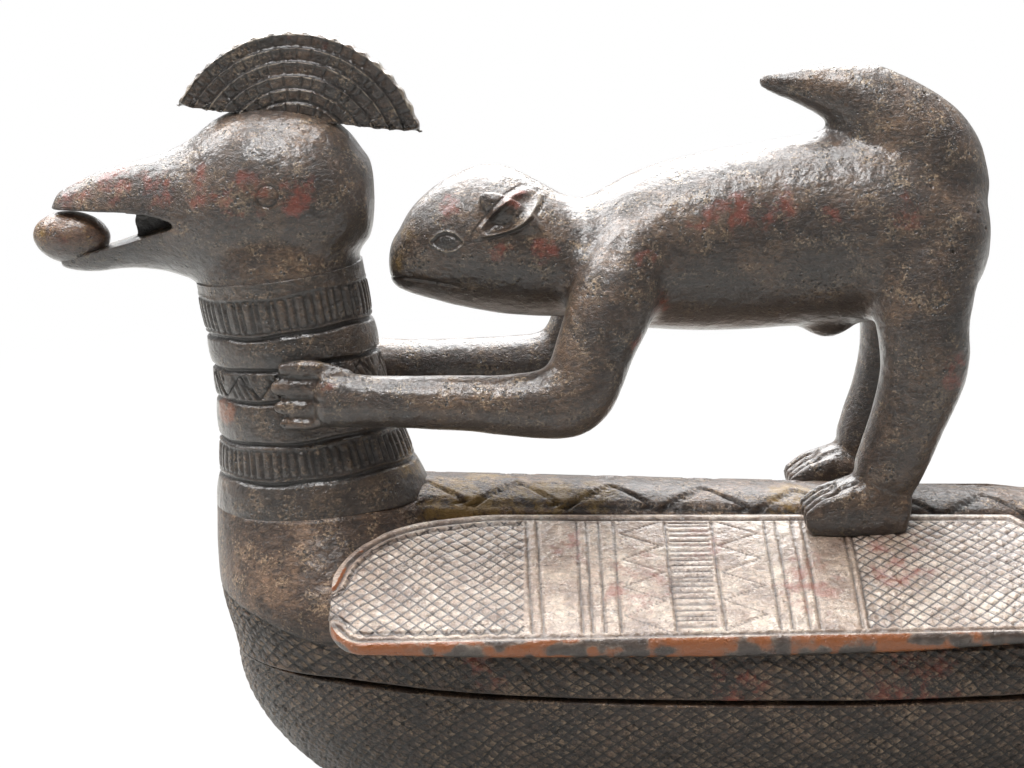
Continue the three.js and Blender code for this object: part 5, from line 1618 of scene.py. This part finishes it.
# %% The monkey's small forms
FINGERS = [
    [HAND_LEVEL + 12.6, 8.2, NECK_FOOT[0] - 13.0],
    [HAND_LEVEL + 4.4, 8.6, NECK_FOOT[0] - 16.0],
    [HAND_LEVEL - 3.7, 7.4, NECK_FOOT[0] - 15.2],
    [HAND_LEVEL - 10.3, 6.2, NECK_FOOT[0] - 13.2],
]
TOE_PITCH, EAR_TILT = 7.25, 33
small = []
for side in (-1, 1):
    for z, tall, tip in FINGERS:
        up = (z - NECK_FOOT[2]) / NECK_HEIGHT
        root = palm[0] + 10
        rows = []
        for k, share in enumerate((0, 0.3, 0.55, 0.8, 0.98)):
            x = root + (tip - root) * share
            radius = neck_radius(up) + 0.9
            off = min(abs(x - (NECK_FOOT[0] - NECK_LEAN * up)) / radius, 0.95)
            y = radius * NECK_NARROW * math.sqrt(1 - off * off) + 3.0
            y = max(y, hand_y - 2) - (2.2, 1.2, 0, 0, 0.5)[k]
            level = z + (HAND_LEVEL - z) * (0.35, 0.15, 0, 0, 0)[k]
            half_height = tall / 2 * (1.04, 1.04, 1, 0.98, 0.8)[k]
            rows.append([x, side * y, level, 4.2 - 0.2 * k, half_height])
        small.append(loft(rows, (0.6, 1.1), 2.2, None, 28, 40))
    heel = leg_x - 6
    toe_root = heel - 25
    paw_middle, paw_high = ground + 5.5, 15.5
    y = side * leg_y
    paw_rows = [
        [heel, y, paw_middle - 2, 12.2, paw_high * 0.75],
        [(heel + toe_root) / 2, y, paw_middle, 13.9, paw_high],
        [toe_root, y, paw_middle - 1, 14.2, paw_high * 0.86],
    ]
    small.append(loft(paw_rows, (0.3, 0.5), 2.2))
    for i in range(4):
        toe_y = y + TOE_PITCH * (i - 1.5)
        toe_rows = [
            [toe_root + 3, toe_y, paw_middle, 3.75, paw_high * 0.7],
            [toe_root - 6.8, toe_y, paw_middle - 2, 3.85, paw_high * 0.6],
            [toe_root - 13.6, toe_y, paw_middle - 4, 3.4, paw_high * 0.42],
        ]
        small.append(loft(toe_rows, (0.3, 0.6), 2.2, None, 28, 24))
    small.append(ellipsoid((SNOUT + 52, side * 26.0, BELLY + 53.2), (15.5, 4.2, 6.4), EAR_TILT))
monkey = grown("monkey_wood", [monkey] + small, 1.25, 4)
print("monkey triangles:", triangles(monkey))

# %% [markdown]
# Now the knife work: almond eyes with a lid line, the long closed mouth, the hollow of each ear,
# the gaps between fingers and toes. The faces there are split first, so that a narrow cut has
# enough points to follow.

# %% Carving the monkey
points, normals = points_of(monkey)
x, y, z = points.T
on_face = (x > -152) & (x < -82) & (z > 262) & (z < 312)
refine(monkey, on_face & (np.abs(normals[:, 1]) > 0.35))
points, normals = points_of(monkey)
x, y, z = points.T
flat = points[:, [0, 2]]
sideways = soft_step(0.3, 0.55, np.abs(normals[:, 1]))
upper_lid = [[-131.8, 286.6], [-129, 289.2], [-126, 290.3], [-123, 289.6], [-120.0, 287.0]]
lower_lid = [[-131.8, 286.6], [-129, 284.8], [-126, 283.9], [-122.6, 284.8], [-120.0, 287.0]]
to_upper, to_lower = line_distance(flat, upper_lid), line_distance(flat, lower_lid)
lids = np.maximum(groove(to_upper, 1.0), 0.8 * groove(to_lower, 0.9))
eye_x, eye_z = -125.9, 286.9
outside_eye = np.hypot(x - eye_x, (z - eye_z) * 1.7) > 5.6
lid_rims = groove(np.abs(np.minimum(to_upper, to_lower) - 1.1), 0.9) * outside_eye
in_eye = np.hypot((x - eye_x) / 5.0, (z - eye_z - 0.1) / 2.8)
eyeball = 1 - soft_step(0.6, 1.0, in_eye)
mouth_path = [[-152, 268.6], [-144.5, 270.2], [-132.7, 269.2], [-121, 267.6]]
lips = groove(line_distance(flat, mouth_path), 1.0)
lips *= soft_step(-119, -124, x)
head_side = sideways * (x < -112) * (z > 262)
nose = (x < -146) & (z > 266) & (z < 271.5)
face_cuts = np.maximum(lids * head_side, lips * np.maximum(head_side, nose))
carve(monkey, 0.7 * face_cuts - 0.5 * lid_rims * head_side, 0.45 * face_cuts)
mark(monkey, "cut", 0.85 * eyeball * head_side)
# Painted highlight: the raised lid rims are marked pale.
mark(monkey, "pale", lid_rims * head_side)


def ear_places(points):
    """Place on the ear's leaf: along it, up across it, and 1 at its edge."""
    tilt = math.radians(EAR_TILT)
    x, z = points[:, 0] - (SNOUT + 51.3), points[:, 2] - (BELLY + 53.4)
    along = x * math.cos(tilt) + z * math.sin(tilt)
    up = z * math.cos(tilt) - x * math.sin(tilt)
    wide = 6.4 * (0.6 + 0.4 * soft_step(-16, 2, along))
    return along, up, np.hypot(along / 16.2, up / wide)


points, _ = points_of(monkey)
refine(monkey, (ear_places(points)[2] < 1.35) & (np.abs(points[:, 1]) > 14) & (points[:, 0] < -78), 2)
points, _ = points_of(monkey)
x, y, z = points.T
along, up, leaf = ear_places(points)
on_ear = (np.abs(y) > 13) & (x < -76) & (x > -122)
ear_rim = groove(np.abs(leaf - 0.86), 0.26) * soft_step(-17, -11, along) * on_ear
hollow = (1 - soft_step(0.35, 0.78, leaf)) * on_ear
crease = groove(np.abs(leaf - 1.16), 0.12) * on_ear
raised = ear_rim * np.where(up < 0, 1.6, 1.0) - 1.5 * hollow - 0.3 * crease
place(monkey, np.column_stack([x, y + np.sign(y) * raised, z]))
mark(monkey, "cut", np.maximum(0.55 * hollow, 0.3 * crease))
# Painted highlight: the lower edge of each ear is marked pale.
mark(monkey, "pale", 0.7 * groove(np.abs(leaf - 0.9), 0.12) * (up < 0) * on_ear)
mark(monkey, "red", ear_rim * (up > 1.5) * 0.9)
x, y, z = points_of(monkey)[0].T
finger_cut = np.zeros(len(x))
for above, back in ((8.8, -178.5), (0.2, -176.5), (-7.3, -181)):
    here = groove(np.abs(z - (HAND_LEVEL + above)), 1.3) * soft_step(back + 4, back - 3, x)
    finger_cut = np.maximum(finger_cut, here)
finger_cut *= np.abs(y) > 12
carve(monkey, 0.9 * finger_cut, 0.9 * finger_cut)
x, y, z = points_of(monkey)[0].T
toe_cut = np.zeros(len(x))
for k in (-1, 0, 1):
    toe_cut = np.maximum(toe_cut, groove(np.abs(np.abs(y) - leg_y - TOE_PITCH * k), 1.3))
toe_cut *= soft_step(toe_root + 9, toe_root + 3, x) * (z < ground + 18) * (x > 10)
carve(monkey, 0.9 * toe_cut, 0.8 * toe_cut)
unevenness(monkey, [(34, 0.7), (9, 0.3), (4.5, 0.12)], 100)
print("monkey triangles:", triangles(monkey))

# %% [markdown]
# Beetle holes pepper the rump and the root of the tail. The hole tree needs a finer mesh there,
# so the rump's faces are split before it runs. Last, the whole skin is thinned a little where it
# is flat, which keeps the piece under 200,000 triangles.

# %% Beetle holes
x, y, z = points_of(monkey)[0].T
refine(monkey, (x > 62) & (z > 268))
x, y, z = points_of(monkey)[0].T
peppered = soft_step(58, 74, x) * soft_step(262, 290, z)
run_tree(monkey, holes, dark_wood, amount=peppered, Radius=0.95, Depth=1.4, Density=2600, Apart=0.006, Seed=4)
points, _ = points_of(monkey)
red_spots = [
    [-24, -33, 299, 12], [-10, -33, 301, 16], [8, -33, 302, 16], [30, -33, 303, 12], [-44, -36, 281, 9],
    [-37, -38, 261, 12], [-46, -38, 246, 9], [83, -40, 235, 14], [-150, -38, 227, 7], [-174, -42, 230, 6],
    [-104, -26, 285, 9], [-86, -28, 284, 9], [-126, -20, 300, 12], [-98, -27, 305, 8], [20, 33, 300, 18],
    [-30, 36, 262, 14], [60, -30, 300, 12],
]
mark(monkey, "red", near(points, red_spots) * 0.85)
mark(monkey, "ochre", near(points, [[-149, -10, 280, 13], [-144, -15, 290, 10], [-177, -42, 238, 6]]) * 0.75)
thinned = monkey.modifiers.new("thinned", "DECIMATE")
thinned.ratio = 0.56
monkey = settle(monkey)
print("monkey triangles:", triangles(monkey))

# %% [markdown]
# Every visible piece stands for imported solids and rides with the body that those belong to: the
# bowl stays, and all the rest lifts off with the lid.

# %% What each piece stands for
limb_nodes = ["monkey_arm_left", "monkey_arm_right", "monkey_leg_left", "monkey_leg_right"]
riders = [
    (bowl, "bowl", "dark_wood", ["bowl"]),
    (lid, "lid", "dark_wood", ["lid_shell"]),
    (wings["left"], "lid", "worn_wood", ["wing_left"]),
    (wings["right"], "lid", "worn_wood", ["wing_right"]),
    (tail, "lid", "dark_wood", ["tail_fan"]),
    (neck, "lid", "dark_wood", ["bird_neck"]),
    (head, "lid", "dark_wood", ["bird_head"]),
    (crest, "lid", "dark_wood", ["bird_crest"]),
    (nut, "lid", "nut_wood", ["beak_nut"]),
    (monkey, "lid", "dark_wood", ["monkey_torso", "monkey_head", "monkey_tail"] + limb_nodes),
]
for obj, body, slot, nodes in riders:
    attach(obj, body)
    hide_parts(*nodes)
    print(obj.name, "stands for", len(nodes), "solid(s) on", body)

# %% [markdown]
# The studio: a pale floor and a white room. The floor looks white to the camera, as in the
# photograph, and still takes the container's shadow. Four soft lamps light it: a large one
# behind and a second above make the tops shine, a small one in front shows the carving and the
# wings, and one at the beak's side lights the breast and the faces.

# %% Floor, room and lamps
floor_mesh = bpy.data.meshes.new("floor")
floor_mesh.from_pydata([(-3, -3, 0), (3, -3, 0), (3, 5, 0), (-3, 5, 0)], [], [(0, 1, 2, 3)])
floor = placed("floor", floor_mesh)
pale = bpy.data.materials.new("matt_white_paper")
pale.use_nodes = True
tree = pale.node_tree
tree.nodes.clear()
seen = add(tree, "ShaderNodeLightPath")
paper = add(tree, "ShaderNodeBsdfDiffuse", {"Color": linear("#b4b3b0")})
white = add(tree, "ShaderNodeEmission", {"Color": linear("#ffffff"), "Strength": 1.0})
floor_at = add(tree, "ShaderNodeTexCoord").outputs["Object"]
away = add(tree, "ShaderNodeVectorMath", {0: floor_at}, operation="LENGTH").outputs["Value"]
fading = add(tree, "ShaderNodeMapRange", {"Value": away, 1: 0.3, 2: 1.3, 3: 0.86, 4: 1.0})
to_camera = seen.outputs["Is Camera Ray"]
direct = add(tree, "ShaderNodeMath", {0: to_camera, 1: fading}, operation="MULTIPLY")
paper_mix = add(tree, "ShaderNodeMixShader", {0: direct, 1: paper, 2: white})
add(tree, "ShaderNodeOutputMaterial", {"Surface": paper_mix})
floor_mesh.materials.append(pale)

world = bpy.data.worlds.new("white_room")
bpy.context.scene.world = world
world.use_nodes = True
tree = world.node_tree
tree.nodes.clear()
seen = add(tree, "ShaderNodeLightPath")
toward = add(tree, "ShaderNodeSeparateXYZ", {0: add(tree, "ShaderNodeTexCoord").outputs["Generated"]})
behind = add(tree, "ShaderNodeMapRange", {"Value": toward.outputs["Y"], 1: -0.3, 2: 0.8, 3: 0.16, 4: 0.4})
to_camera = seen.outputs["Is Camera Ray"]
strength = add(tree, "ShaderNodeMath", {0: to_camera, 1: behind}, operation="MAXIMUM")
sky = add(tree, "ShaderNodeBackground", {"Color": linear("#ffffff"), "Strength": strength})
add(tree, "ShaderNodeOutputWorld", {"Surface": sky})


def soft_lamp(name, place_m, target_m, size_m, power):
    """A square area lamp that faces a target."""
    data = bpy.data.lights.new(name, "AREA")
    data.size = size_m
    data.energy = power
    lamp = placed(name, data)
    lamp.location = place_m
    way = Vector(target_m) - Vector(place_m)
    lamp.rotation_euler = way.to_track_quat("-Z", "Y").to_euler()


soft_lamp("back_lamp", (-0.22, 1.1, 1.4), (-0.03, 0, 0.25), 1.6, 58)
soft_lamp("top_lamp", (-0.05, 0.25, 1.65), (-0.03, 0, 0.2), 0.8, 18)
soft_lamp("key_lamp", (-0.3, -0.62, 1.5), (-0.03, 0, 0.15), 0.5, 13)
soft_lamp("side_lamp", (-0.95, 0.2, 1.15), (-0.2, 0, 0.2), 0.6, 12)
bpy.context.scene.view_settings.view_transform = "Standard"

# %% Clearing unused meshes
for mesh in [m for m in bpy.data.meshes if not m.users]:
    bpy.data.meshes.remove(mesh)
